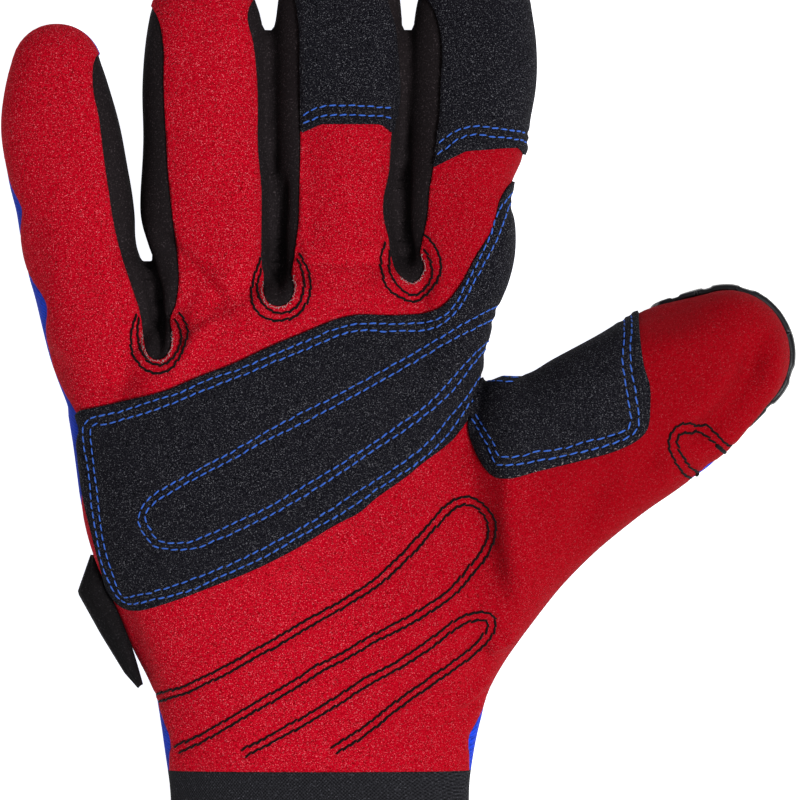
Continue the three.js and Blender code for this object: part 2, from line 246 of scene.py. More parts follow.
def to_thumb(points: np.ndarray) -> np.ndarray:
    """Points of the glove in the thumb's own frame, along +Y from its root."""
    shifted = points[:, :2] - np.array(THUMB_ROOT)
    cos, sin = math.cos(-THUMB_TURN), math.sin(-THUMB_TURN)
    turned = shifted @ np.array([[cos, sin], [-sin, cos]])
    return np.column_stack([turned, points[:, 2:]])


@dataclass(frozen=True)
class Outline:
    """A plan curve through points chosen along a seam, a cut edge or a row of stitches."""

    points: tuple[Point, ...]
    closed: bool = False
    rounded: bool = True

    def path(self, step: float = 0.8) -> np.ndarray:
        """The curve as evenly spaced points.

        Args:
            step: Spacing of the points in millimetres.

        Returns:
            An array of x and y; a closed curve repeats its first point at its end.
        """
        corners = np.array(self.points + (self.points[:1] if self.closed else ()), float)
        if self.rounded:
            corners = self._curve(corners)
        lengths = np.linalg.norm(np.diff(corners, axis=0), axis=1)
        places = np.concatenate([[0.0], np.cumsum(lengths)])
        count = max(2, int(round(places[-1] / step)) + 1)
        even = np.linspace(0.0, places[-1], count)
        return np.column_stack([np.interp(even, places, corners[:, axis]) for axis in (0, 1)])

    def _curve(self, corners: np.ndarray) -> np.ndarray:
        """Centripetal Catmull-Rom curve through the corners."""
        before = corners[-2] if self.closed else 2 * corners[0] - corners[1]
        after = corners[1] if self.closed else 2 * corners[-1] - corners[-2]
        padded = np.vstack([before, corners, after])
        pieces = []
        for p0, p1, p2, p3 in zip(padded, padded[1:], padded[2:], padded[3:]):
            t1 = np.linalg.norm(p1 - p0) ** 0.5 + 1e-6
            t2 = t1 + np.linalg.norm(p2 - p1) ** 0.5 + 1e-6
            t3 = t2 + np.linalg.norm(p3 - p2) ** 0.5 + 1e-6
            t = np.linspace(t1, t2, CURVE_STEPS, endpoint=False)[:, None]
            a1 = (t1 - t) / t1 * p0 + t / t1 * p1
            a2 = (t2 - t) / (t2 - t1) * p1 + (t - t1) / (t2 - t1) * p2
            a3 = (t3 - t) / (t3 - t2) * p2 + (t - t2) / (t3 - t2) * p3
            b1 = (t2 - t) / t2 * a1 + t / t2 * a2
            b2 = (t3 - t) / (t3 - t1) * a2 + (t - t1) / (t3 - t1) * a3
            pieces.append((t2 - t) / (t2 - t1) * b1 + (t - t1) / (t2 - t1) * b2)
        return np.vstack(pieces + [corners[-1:]])

    def distance(self, points: np.ndarray, reach: float = 12.0) -> np.ndarray:
        """Distance of plan points from the curve, held at the reach beyond it."""
        gap, _ = self.beside(points, reach)
        return np.minimum(np.abs(gap), reach)

    def beside(self, points: np.ndarray, reach: float = 20.0) -> tuple[np.ndarray, np.ndarray]:
        """Where plan points lie beside the curve.

        Args:
            points: Rows that start with x and y.
            reach: Distance past which a point counts as far off.

        Returns:
            The distance, above zero to the left of the way along, and the share of the way along.
        """
        path = self.path()
        start, run = path[:-1], np.diff(path, axis=0)
        square = np.maximum((run**2).sum(1), 1e-12)
        gap = np.full(len(points), reach)
        share = np.zeros(len(points))
        near = np.all((points[:, :2] > path.min(0) - reach) & (points[:, :2] < path.max(0) + reach), axis=1)
        spots = np.flatnonzero(near)
        for chunk in np.array_split(spots, max(1, len(spots) // NEAR_POINTS)):
            offset = points[chunk, None, :2] - start[None]
            along = np.clip((offset * run).sum(2) / square, 0.0, 1.0)
            away = offset - along[..., None] * run
            lengths = np.linalg.norm(away, axis=2)
            best = lengths.argmin(1)
            pick = np.arange(len(chunk))
            turn = run[best, 0] * away[pick, best, 1] - run[best, 1] * away[pick, best, 0]
            gap[chunk] = np.where(turn < 0, -1, 1) * lengths[pick, best]
            share[chunk] = (best + along[pick, best]) / len(run)
        return gap, share

    def signed(self, points: np.ndarray) -> np.ndarray:
        """Distance from a closed curve, above zero inside it."""
        path = self.path()
        x, y = points[:, 0], points[:, 1]
        inside = np.zeros(len(points), bool)
        for (x0, y0), (x1, y1) in zip(path[:-1], path[1:]):
            if y0 != y1:
                inside ^= ((y0 > y) != (y1 > y)) & (x < (x1 - x0) * (y - y0) / (y1 - y0) + x0)
        distance = self.distance(points)
        return np.where(inside, distance, -distance)


def outlines(*rows: tuple[Point, ...]) -> tuple[Outline, ...]:
    """Open outlines, one for each row of points."""
    return tuple(Outline(points) for points in rows)


# Openings of the palm side at the three finger crotches, on past the fingertips
LITTLE_RING_GAP = Outline(
    (
        (-71, 98), (-76, 93), (-76.6, 85.6), (-75.1, 78), (-73.9, 68.4), (-72.5, 58.8), (-71.3, 51.2),
        (-69.4, 43.5), (-66.4, 34.5), (-64.6, 28.9), (-64.1, 24.5), (-63.7, 20.6), (-62.6, 18.4),
        (-60.6, 17.4), (-58.4, 18), (-57.1, 20.2), (-56.7, 24.4), (-57.3, 27.6), (-55.9, 31), (-55, 37.3),
        (-55.5, 44.5), (-56.7, 54), (-57.7, 63.6), (-58.4, 75.6), (-58.9, 85.6), (-59, 96), (-61, 104),
        (-67, 110),
    ),
    closed=True,
)
RING_MIDDLE_GAP = Outline(
    (
        (-34, 112), (-38, 104), (-36.5, 96), (-35.5, 85.3), (-35.4, 70.3), (-34.5, 60), (-34.5, 47.3),
        (-34.4, 42.5), (-33.9, 38.2), (-34.1, 34.5), (-32.6, 31.5), (-29.7, 30.8), (-27.2, 32.2),
        (-26.2, 35.6), (-27, 38.9), (-26.5, 42), (-26, 46), (-25.3, 50.8), (-25, 60), (-24.8, 73.8),
        (-24.8, 85.3), (-25, 100), (-26.5, 109), (-32.5, 117),
    ),
    closed=True,
)
MIDDLE_INDEX_GAP = Outline(
    (
        (1.7, 117), (-3.5, 109), (-1.5, 100), (-0.5, 85.3), (-0.8, 79.5), (-2.1, 73.8), (-2.7, 64.6),
        (-4.1, 57.7), (-4.1, 53.1), (-2.7, 47.3), (-1.9, 42.2), (-1.1, 39.7), (1, 37.5), (3.1, 36.6),
        (5.1, 37.9), (6, 40.8), (5, 43.9), (6, 49.1), (6.8, 53.1), (7.4, 60), (8.3, 65.4), (9.1, 71.5),
        (10, 78.9), (10.3, 85.3), (10.4, 98), (8, 106), (2.4, 111),
    ),
    closed=True,
)


class Region(Enum):
    """Panels that the glove's skin is cut into, by node name."""

    PALM = "palm_panel"
    BACK = "back_panel"
    LITTLE_RING = "fourchette_little_ring"
    RING_MIDDLE = "fourchette_ring_middle"
    MIDDLE_INDEX = "fourchette_middle_index"
    CUFF = "cuff_band"


GAPS = {
    Region.LITTLE_RING: LITTLE_RING_GAP,
    Region.RING_MIDDLE: RING_MIDDLE_GAP,
    Region.MIDDLE_INDEX: MIDDLE_INDEX_GAP,
}

PALM_PATCH = Outline(
    (
        (-80.7, 3.4), (-79.6, 4.8), (-76.3, 5.5), (-68.3, 7.1), (-58.2, 9.8), (-50.2, 13.1), (-41.5, 16.4),
        (-31.4, 21.1), (-24.8, 23.8), (-15.4, 27.6), (-10.4, 28.6), (-1.3, 28.5), (7.4, 29.3), (10.8, 31),
        (14.9, 35.9), (18.9, 43.3), (22.9, 50.2), (25.2, 58.3), (29.8, 63.4), (38, 63.5), (38, 32),
        (28, 21.5), (23.5, 18), (20.8, 15.4), (19.6, 12.5), (16.3, 1.6), (10, -4.8), (6.5, -7.5), (1, -12),
        (-5.8, -16.8), (-10, -20.4), (-16.1, -23.6), (-26.4, -29.8), (-36.7, -34.9), (-47, -39),
        (-57.3, -42.8), (-64.9, -44.7), (-68.9, -43.9), (-72.3, -40.5), (-74.3, -34.5), (-76.3, -26.4),
        (-78.7, -15.7), (-80, -5),
    ),
    closed=True,
)
THUMB_PATCH = Outline(
    (
        (16.9, 1.6), (18.6, -4.2), (21.8, -9.9), (24.1, -11.7), (27.2, -12), (33, -10.5), (44.5, -7.7),
        (53.6, -5.1), (58.8, -2.5), (61.4, 0.4), (62.1, 5.6), (62, 11.3), (60.8, 15.3), (59.8, 22.8),
        (59.7, 29.1), (61, 37), (50, 35), (37, 28), (28.5, 19.8), (24.5, 17.2), (21.2, 15.2), (19.9, 12.5),
    ),
    closed=True,
)
MIDDLE_TIP_PATCH = Outline(
    (
        (-24.8, 73.8), (-19.6, 76.1), (-4.7, 76.1), (-1.9, 73.8), (-0.7, 79.5), (-0.4, 86), (-1.4, 100),
        (-3.4, 109), (2.5, 120), (2.5, 130), (-34, 130), (-34, 121), (-26.4, 109), (-24.9, 100),
        (-24.7, 85.3),
    ),
    closed=True,
    rounded=False,
)
INDEX_TIP_PATCH = Outline(
    (
        (8.4, 65.4), (16.3, 69.3), (29.5, 70.4), (31.5, 67.8), (40, 68), (40, 126), (0, 126), (2, 112),
        (7.9, 106), (10.3, 98), (10.2, 85.3), (9.9, 78.9), (9, 71.5),
    ),
    closed=True,
    rounded=False,
)


@dataclass(frozen=True)
class SeamPeak:
    """A place where the side seam climbs and the knit back shows from the palm side."""

    x: float
    y: float
    half_x: float
    half_y: float
    rise: float


SEAM_PEAKS = (
    SeamPeak(-97, 55.5, 14, 5.0, 5.0),
    SeamPeak(-91, 30.5, 14, 6.5, 7.0),
    SeamPeak(-83, 2.0, 12, 7.0, 6.0),
    SeamPeak(-80, -12.0, 12, 6.0, 4.5),
    SeamPeak(85, -3.0, 10, 9.0, -6.0),
    SeamPeak(78, -9.5, 3.0, 3.0, 5.0),
    SeamPeak(-60, -77.0, 12, 6.0, 5.0),
    SeamPeak(20, -76.5, 10, 6.0, 5.5),
    SeamPeak(26, -60.0, 14, 13.0, -3.5),
    SeamPeak(-66, -60.0, 9, 9.0, -2.5),
    SeamPeak(-95, 43.0, 9, 6.0, -2.6),
    SeamPeak(-87, 14.0, 9, 6.0, -2.6),
    SeamPeak(63, 31.0, 8, 8.0, -2.6),
)


def seam_height(points: np.ndarray) -> np.ndarray:
    """Height of the side seam between palm and back over each plan point."""
    places = np.array([-130.0, -50.0, 0.0, 30.0, 130.0])
    height = np.interp(points[:, 1], places, np.array([16.0, 20.0, 20.5, 18.0, 15.0]))
    for peak in SEAM_PEAKS:
        across = ((points[:, 0] - peak.x) / peak.half_x) ** 2
        height = height + peak.rise * np.exp(-across - ((points[:, 1] - peak.y) / peak.half_y) ** 2)
    return height


def gap_field(region: Region) -> Field:
    """Field that is above zero on one of the black strips between the fingers."""
    return lambda points: np.minimum(GAPS[region].signed(points), points[:, 2] - FOURCHETTE_LOW)


def palm_field(points: np.ndarray) -> np.ndarray:
    """Above zero on the palm side of the side seam."""
    return points[:, 2] - seam_height(points)


def cuff_field(points: np.ndarray) -> np.ndarray:
    """Above zero on the cuff's side of the wrist seam."""
    return CUFF_SEAM - points[:, 1]


def coordinates(bm: bmesh.types.BMesh) -> np.ndarray:
    """Places of a bmesh's vertices in millimetres, one row each."""
    return np.array([vert.co[:] for vert in bm.verts], float).reshape(-1, 3) / MM


def centres(bm: bmesh.types.BMesh) -> np.ndarray:
    """Middles of a bmesh's faces in millimetres, one row each."""
    return np.array([face.calc_center_median()[:] for face in bm.faces], float).reshape(-1, 3) / MM


def divide(bm: bmesh.types.BMesh, values: np.ndarray) -> None:
    """Cuts new edges into a bmesh where a field crosses zero.

    Args:
        bm: The mesh, changed in place.
        values: The field at each vertex.
    """
    level = np.where(np.abs(values) < SNAP, 0.0, values)
    on_line = [vert for vert in bm.verts if level[vert.index] == 0.0]
    crossing = [e for e in bm.edges if level[e.verts[0].index] * level[e.verts[1].index] < 0]
    for edge in crossing:
        first, second = edge.verts
        share = level[first.index] / (level[first.index] - level[second.index])
        _, vert = bmesh.utils.edge_split(edge, first, float(np.clip(share, SNAP, 1 - SNAP)))
        on_line.append(vert)
    bmesh.ops.connect_verts(bm, verts=on_line)
    for items in (bm.verts, bm.faces):
        items.index_update()
        items.ensure_lookup_table()


def keep_faces(bm: bmesh.types.BMesh, keep: np.ndarray) -> bmesh.types.BMesh:
    """A copy of a bmesh that holds only the chosen faces."""
    part = bm.copy()
    part.faces.ensure_lookup_table()
    dropped = [face for face in part.faces if not keep[face.index]]
    bmesh.ops.delete(part, geom=dropped, context="FACES")
    part.verts.index_update()
    part.faces.index_update()
    return part


def cut_out(sheet: bmesh.types.BMesh, inside: Field) -> bmesh.types.BMesh:
    """A finer copy of the part of a sheet where a field is above zero.

    Args:
        sheet: The sheet, left as it is.
        inside: The field, in millimetres.

    Returns:
        The part, cut along the field's zero line, with four faces for each one of the sheet's.
    """
    near = keep_faces(sheet, inside(centres(sheet)) > -CUT_MARGIN)
    divide(near, inside(coordinates(near)))
    part = keep_faces(near, inside(centres(near)) > 0)
    near.free()
    bmesh.ops.subdivide_edges(part, edges=part.edges, cuts=1, use_grid_fill=True)
    return part


def relax(bm: bmesh.types.BMesh, verts: Sequence[bmesh.types.BMVert], rounds: int) -> None:
    """Draws vertices half way to the middle of their neighbours, some rounds over."""
    for _ in range(rounds):
        bmesh.ops.smooth_vert(bm, verts=verts, factor=0.5)


def add_object(name: str, mesh: bpy.types.Mesh, material: bpy.types.Material) -> bpy.types.Object:
    """Puts a finished mesh into the scene as a smooth-shaded object at the origin."""
    mesh.materials.append(material)
    mesh.shade_smooth()
    piece = bpy.data.objects.new(name, mesh)
    bpy.context.collection.objects.link(piece)
    return piece


def to_mesh(name: str, bm: bmesh.types.BMesh) -> bpy.types.Mesh:
    """A mesh made of a bmesh, which is freed."""
    mesh = bpy.data.meshes.new(name)
    bm.to_mesh(mesh)
    bm.free()
    return mesh


def declare(piece: bpy.types.Object, slot: str, *nodes: str) -> None:
    """Hangs a finished piece on the root, hides the nodes that it stands for and logs its face count."""
    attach(piece, "root")
    if nodes:
        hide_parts(*nodes)
    LOG.info("%s: %d faces", piece.name, len(piece.data.polygons))


def dress(name: str, bm: bmesh.types.BMesh, finish: bpy.types.Material, slot: str, node: str,
          wall: float = 0.0) -> bpy.types.Object:
    """Makes one finished piece.

    Args:
        name: The piece's name.
        bm: Its sheet or closed form, freed afterwards.
        finish: Its material.
        slot: Not used.
        node: The node that it stands for.
        wall: Thickness given to a sheet below its surface, in millimetres, or 0 for a closed form.

    Returns:
        The piece.
    """
    piece = add_object(name, to_mesh(name, bm), finish)
    if wall:
        solidify = piece.modifiers.new("wall", "SOLIDIFY")
        solidify.thickness = wall * MM
        solidify.offset = -1.0
        solidify.use_rim = True
    declare(piece, slot, node)
    return piece


@dataclass
class GloveForm:
    """The filled-out glove as one closed surface, before any seam or fold."""

    voxel: float = 1.0
    relax_rounds: int = 6
    crotch_rounds: int = 14
    hand_sides: int = 96
    hand_rows: int = 90
    digit_sides: int = 64
    digit_rows: int = 70

    def build(self) -> bmesh.types.BMesh:
        """Lofts hand and digits, joins them by a voxel remesh and softens where they meet.

        Returns:
            The surface, open at the cuff's end.
        """
        bm = bmesh.new()
        self._hand(bm)
        for digit in (LITTLE, RING, MIDDLE, INDEX):
            self._digit(bm, digit, thumb=False)
        self._digit(bm, THUMB, thumb=True)
        joined = self._remesh(bm)
        relax(joined, joined.verts, self.relax_rounds)
        self._soften_crotches(joined)
        plane = Vector((0.0, CUFF_END * MM, 0.0))
        everything = joined.verts[:] + joined.edges[:] + joined.faces[:]
        bmesh.ops.bisect_plane(joined, geom=everything, plane_co=plane, plane_no=(0, 1, 0), clear_inner=True)
        joined.verts.index_update()
        return joined

    def _skin(self, bm: bmesh.types.BMesh, sides: int, rows: int, place: Field) -> None:
        """Adds a closed tube: a grid rolled up by a function of angle share and length share."""
        grid = bmesh.ops.create_grid(bm, x_segments=sides, y_segments=rows, size=0.5)["verts"]
        shares = np.array([vert.co[:2] for vert in grid]) + 0.5
        for vert, target in zip(grid, place(shares)):
            vert.co = Vector(target) * MM
        bmesh.ops.remove_doubles(bm, verts=grid, dist=1e-5)
        ends = [edge for edge in bm.edges if edge.is_boundary]
        bmesh.ops.holes_fill(bm, edges=ends, sides=0)
        bmesh.ops.recalc_face_normals(bm, faces=bm.faces)

    def _ring(self, shares: np.ndarray, row: dict[str, np.ndarray], shrink: np.ndarray) -> np.ndarray:
        """Rounded oblong sections: x and z of every point."""
        angle = shares[:, 0] * 2 * np.pi
        power = 2 / ROUNDNESS
        across = np.sign(np.cos(angle)) * np.abs(np.cos(angle)) ** power
        up = np.sign(np.sin(angle)) * np.abs(np.sin(angle)) ** power
        hollow = np.where(up > 0, row["cup"] * (1 - across**2) ** 2, 0.0)
        x = (row["left"] + row["right"]) / 2 + (row["right"] - row["left"]) / 2 * across * shrink
        z = (row["low"] + row["high"]) / 2 + ((row["high"] - row["low"]) / 2 * up - hollow) * shrink
        return np.column_stack([x, z])

    def _hand(self, bm: bmesh.types.BMesh) -> None:
        """The hand from past the cuff's end to the web, whose edge is rounded."""
        body_share = 0.88
        last_angle = np.radians(86)
        start = CUFF_END - 4

        def place(shares: np.ndarray) -> np.ndarray:
            at = np.clip(shares[:, 1] / body_share, 0, 1)
            angle = np.clip((shares[:, 1] - body_share) / (1 - body_share), 0, 1) * last_angle
            row = read_sections(HAND, at)
            inset = WEB_ROUND * (1 - np.cos(angle))
            squeeze = (row["high"] - row["low"]) / 2 * (1 - np.cos(angle))
            rounded = {
                "left": row["left"] + inset,
                "right": row["right"] - inset,
                "low": row["low"] + squeeze,
                "high": row["high"] - squeeze,
                "cup": row["cup"] * np.cos(angle),
            }
            plan = self._ring(shares, rounded, np.ones(len(shares)))
            web = WEB_TOP - WEB_BEND * (plan[:, 0] - WEB_MIDDLE) ** 2 - WEB_ROUND
            y = start + (web - start) * at + WEB_ROUND * np.sin(angle)
            return np.column_stack([plan[:, 0], y, plan[:, 1]])

        self._skin(bm, self.hand_sides, self.hand_rows, place)

    def _digit(self, bm: bmesh.types.BMesh, digit: Digit, thumb: bool) -> None:
        """A finger, or the thumb turned and set beside the hand, with a round tip."""
        body_share = 0.8
        last_angle = np.radians(88)
        bend = digit.tip - digit.rounding
        start = digit.rows[0].at

        def place(shares: np.ndarray) -> np.ndarray:
            at = np.clip(shares[:, 1] / body_share, 0, 1)
            angle = np.clip((shares[:, 1] - body_share) / (1 - body_share), 0, 1) * last_angle
            y = start + (bend - start) * at + digit.rounding * np.sin(angle)
            plan = self._ring(shares, read_sections(digit.rows, y), np.cos(angle))
            x = plan[:, 0]
            if thumb:
                cos, sin = math.cos(THUMB_TURN), math.sin(THUMB_TURN)
                x, y = x * cos - y * sin + THUMB_ROOT[0], x * sin + y * cos + THUMB_ROOT[1]
            return np.column_stack([x, y, plan[:, 1]])

        self._skin(bm, self.digit_sides, self.digit_rows, place)

    def _remesh(self, bm: bmesh.types.BMesh) -> bmesh.types.BMesh:
        """Joins overlapping closed skins into one even surface."""
        mesh = to_mesh("form", bm)
        holder = bpy.data.objects.new("form", mesh)
        bpy.context.collection.objects.link(holder)
        remesh = holder.modifiers.new("voxels", "REMESH")
        remesh.mode = "VOXEL"
        remesh.voxel_size = self.voxel * MM
        evaluated = holder.evaluated_get(bpy.context.evaluated_depsgraph_get())
        joined = bmesh.new()
        joined.from_mesh(evaluated.to_mesh())
        evaluated.to_mesh_clear()
        bpy.data.objects.remove(holder)
        bpy.data.meshes.remove(mesh)
        return joined

    def _soften_crotches(self, bm: bmesh.types.BMesh) -> None:
        """Rounds the sharp valleys where two lofts meet, and leaves the rest as it is."""
        for _ in range(self.crotch_rounds):
            hollow = []
            for vert in bm.verts:
                beside = [edge.other_vert(vert).co for edge in vert.link_edges]
                around = sum(beside, Vector()) / len(beside)
                if (around - vert.co).dot(vert.normal) > 0.02 * MM:
                    hollow.append(vert)
            relax(bm, hollow, 1)
            bm.normal_update()


# Rows of stitches, along the middle of each row
PALM_EDGE_ROWS = outlines(
    (
        (29.5, 61.2), (24.4, 54.2), (22.3, 47.8), (17.1, 37.6), (12.4, 29.6), (7.9, 27.2), (-1.3, 26.4),
        (-10.2, 26.5), (-15.1, 25.5), (-24.1, 21.8), (-30.6, 19.1), (-40.7, 14.9), (-48.8, 12.1),
        (-54.5, 9.4), (-62.2, 7), (-69.9, 4.5), (-77.1, 2.9), (-78.7, 1.2), (-78.8, -3), (-77.5, -10.1),
        (-76.6, -20), (-75.6, -25.8), (-74.3, -32.7), (-72.2, -38.4), (-69.9, -41.9), (-67.2, -43.2),
        (-62.2, -42.2), (-52.6, -40), (-46.9, -37.5), (-39.2, -34), (-31.6, -30.4), (-23.9, -25.8),
        (-17.8, -22.5), (-11, -18.4), (-5, -14.3), (0.8, -10.6), (5.9, -6.9), (9.4, -3.7), (12.2, -0.6),
        (15.1, 3.3), (17.7, 7.1), (20, 10.4), (20.9, 13), (21, 16.4),
    ),
    (
        (27.6, 57), (24.2, 47.9), (19, 38), (13.6, 29.1), (8.3, 25.4), (-1.3, 24.6), (-10, 24.7),
        (-14.5, 23.8), (-23.4, 20.1), (-29.8, 17.5), (-36.8, 14.5), (-43, 12.1), (-50.7, 9.1),
        (-58.4, 5.9), (-66, 3.5), (-73.7, 1.4), (-75.8, 1.6), (-76.9, 0.2), (-76.5, -5.9), (-75.2, -16.6),
        (-74.4, -23.9), (-73.3, -29.6), (-71.4, -36.1), (-68.9, -41.4), (-66, -41.1), (-58.4, -39.4),
        (-50.7, -36.7), (-43, -33.6), (-35.4, -30), (-27.7, -26), (-20.1, -21.6), (-12.5, -16.6),
        (-5, -11.7), (0.8, -8), (5.9, -4.1), (9.4, -0.5), (12.8, 3.8), (16, 7.5), (18.5, 11.2),
        (20.8, 14.7),
    ),
)
PALM_LOOP_ROWS = outlines(
    (
        (24.3, 31), (18.9, 28.2), (13.4, 25), (6.5, 20.9), (0.8, 17.7), (-5, 14.4), (-11.4, 10.9),
        (-17.8, 7.5), (-27.8, 2.6), (-35.4, -1.7), (-43.1, -6.1), (-50.7, -10.1), (-58.4, -14.3),
        (-62.2, -17), (-64.1, -19.3), (-65, -21.6), (-64.7, -23.9), (-62.2, -27.7), (-60.7, -29),
        (-57.6, -29.6), (-51.5, -29.4), (-44.6, -26.9), (-36.9, -23.5), (-29.3, -19.5), (-21.6, -14.9),
        (-13.3, -9.6), (-5, -4), (1.3, 0), (7.1, 4.5), (11.1, 7.8), (15.1, 12.4), (18.5, 17), (21.7, 20.7),
    ),
    (
        (25.6, 28.9), (17.4, 24.7), (12.2, 22.1), (6.5, 18.7), (0.8, 15.4), (-5, 12.1), (-11.4, 8.6),
        (-17.8, 5.2), (-25.9, 1), (-33.5, -2.6), (-41.2, -7), (-48.8, -10.9), (-56.5, -15.1),
        (-61.1, -18.1), (-62.8, -20.4), (-63.5, -22), (-62.2, -24.4), (-60.7, -26.7), (-59.1, -27.7),
        (-53, -27.8), (-46.9, -25.6), (-39.2, -22.1), (-31.6, -18.5), (-23.9, -13.9), (-17.8, -10.3),
        (-11.4, -6.3), (-5, -2.1), (0.8, 2.1), (6.5, 6.1), (10.8, 10.4), (14.8, 15), (18.8, 19.3),
        (22.1, 22.3),
    ),
)
THUMB_ROWS = outlines(
    (
        (17.5, 3.6), (20, -0.8), (22.2, -4.6), (23.7, -8.3), (28, -8.5), (33.8, -7.6), (39.8, -6.5),
        (45, -5.5), (51.1, -3.8), (56.9, -1.7), (58.8, 0), (59.3, 1.6), (58.4, 9.4), (57.6, 14),
        (57.2, 18), (57.4, 22), (57.8, 25.5), (57.8, 31),
    ),
    (
        (18.4, 4.6), (21.4, -0.3), (23.4, -3.7), (24.4, -6.3), (28, -6.7), (33.8, -5.4), (39.8, -4.7),
        (45.8, -2.9), (51.5, -1.5), (56.7, 0.3), (57.3, 1.7), (56.3, 9.4), (55.8, 13), (55.3, 17.1),
        (55.5, 20.9), (55.9, 24.7), (56.2, 30),
    ),
)
WEB_ROWS = outlines(
    ((21.5, 13.6), (24.1, 13.6), (27.1, 13.2), (29.8, 13.1)),
    ((21.2, 12.1), (24.1, 12.3), (27.1, 12), (30.5, 12.4)),
)
MIDDLE_TIP_ROWS = outlines(
    ((-24.9, 75.8), (-19.6, 78), (-4.1, 78), (-0.9, 77.2)),
    ((-25, 78), (-19.6, 80.5), (-4.1, 80.3), (-1, 80.1)),
)
INDEX_TIP_ROWS = outlines(
    ((8.5, 68), (16.3, 73.2), (24.6, 72.9), (31.2, 71.9), (33, 69.8)),
    ((9.1, 71.2), (16.3, 75.3), (24.6, 75.1), (33.5, 73.8)),
)
NOTCH_ROWS = outlines(
    (
        (-64.3, 30.1), (-65.2, 26.3), (-65.1, 21.9), (-63.1, 17.6), (-60, 15.9), (-56.9, 17.4),
        (-54.4, 21.9), (-54.7, 25.1), (-56.3, 28.6),
    ),
    (
        (-65.1, 29.4), (-66.8, 25.1), (-66.8, 20.1), (-64.4, 15.7), (-60.6, 14.1), (-56.9, 15.1),
        (-53.8, 20.1), (-52.6, 24.4), (-53.8, 27.6), (-55.6, 30.6),
    ),
    (
        (-34.1, 41.4), (-35.5, 35.5), (-34.3, 31.6), (-30.3, 29), (-26.3, 30), (-23.9, 34.2),
        (-24.2, 39.5), (-25.9, 43.4),
    ),
    (
        (-34.4, 43.8), (-36.9, 35.5), (-36.5, 30.9), (-33.6, 27.9), (-29, 27.2), (-25, 29), (-22.6, 32.9),
        (-22.3, 38.2), (-24.6, 43.4), (-25.6, 46),
    ),
    ((-2.4, 46), (-2.6, 39.5), (0.4, 34.8), (3.7, 33.4), (7, 36), (8.2, 40.4), (7, 43.5), (5.3, 46.3)),
    (
        (-3.4, 47.4), (-4.7, 43), (-4.6, 39.5), (-3.2, 35.5), (0.6, 32.7), (4.6, 32.1), (8.2, 35.3),
        (10.2, 39.9), (9.5, 44.5), (6.2, 49),
    ),
)
FRAYED_EDGES = outlines(
    ((-64.3, 25), (-63.9, 20.6), (-62.7, 18.2), (-60.6, 17.1), (-58.2, 17.8), (-56.9, 20.2), (-56.5, 25)),
    ((-33.8, 38), (-34.3, 34.4), (-32.7, 31.2), (-29.7, 30.5), (-27, 32), (-26, 35.6), (-26.7, 38.8)),
    ((-1.2, 40), (1, 37.2), (3.1, 36.3), (5.3, 37.8), (6.2, 40.8), (5.4, 43.8)),
)
RAW_PATCH_EDGE = outlines(
    (
        (24.3, -11.2), (27.2, -11.6), (33, -10.1), (44.5, -7.3), (53.4, -4.7), (58.4, -2.2), (60.9, 0.6),
    ),
)
LONG_LOOP = (
    (-61, -65.9), (-53.8, -63.7), (-43.5, -58.6), (-36.7, -54.8), (-29.1, -50.7), (-23.6, -47.3),
    (-16.1, -43.2), (-5.8, -36.6), (1.1, -30.1), (7.9, -22.6), (11.4, -18.8), (14.8, -16.8), (18.2, -16.8),
    (21.6, -19.2), (23.7, -22.6), (23.7, -26.7), (21.6, -31.5), (18.2, -35.6), (13.4, -41.1), (7.9, -44.9),
    (1.1, -49), (-5.8, -52.4), (-12.7, -56.5), (-19.5, -60), (-26.4, -64.4), (-36.7, -70.3), (-48, -77),
    (-56.3, -81),
)
SHORT_LOOP = (
    (-40, -80), (-22.3, -70.3), (-16.1, -66.5), (-9.3, -62), (-2.4, -58.3), (4.5, -54.1), (10, -50),
    (14.8, -46.6), (19.6, -45.2), (23, -45.9), (23.9, -48), (22.3, -52.1), (18.9, -55.5), (14.8, -58.6),
    (7.9, -63.4), (1.1, -68.2), (-1.7, -70.3), (-9, -76), (-17.5, -81.3),
)
THUMB_LOOPS = outlines(
    (
        (73.4, -12.2), (70.7, -11), (68.6, -8.2), (67.5, -5.7), (66.7, -3.4), (67.5, -0.7), (69, 1),
        (71.9, 1.8), (74, 0.9), (75.9, 1.6), (77.6, 0.1), (79.3, -1.7), (81.4, -3.6), (83.3, -4.1),
    ),
    (
        (74.8, -10.8), (72.3, -9.3), (70.7, -7), (69.2, -4.3), (68.7, -2.6), (69.4, -1.1), (71.3, -0.5),
        (72.6, -0.9), (74.1, -0.1), (76.3, -1.7), (77.8, -2.6), (79.1, -4),
    ),
)
BAR_TACKS = outlines(
    ((72.2, -13.6), (74.4, -10.4)),
    ((78.6, -3.4), (81.6, -6.2)),
)


def row_beside(points: tuple[Point, ...], gap: float = 1.85) -> Outline:
    """A row of stitches a fixed gap to the right of another one's way along."""
    path = Outline(points).path(1.2)
    run = np.gradient(path, axis=0)
    run /= np.linalg.norm(run, axis=1)[:, None]
    moved = path + gap * np.column_stack([run[:, 1], -run[:, 0]])
    return Outline(tuple(map(tuple, moved)), rounded=False)


BLACK_ROWS = (
    Outline(LONG_LOOP), row_beside(LONG_LOOP), Outline(SHORT_LOOP), row_beside(SHORT_LOOP), *THUMB_LOOPS,
)


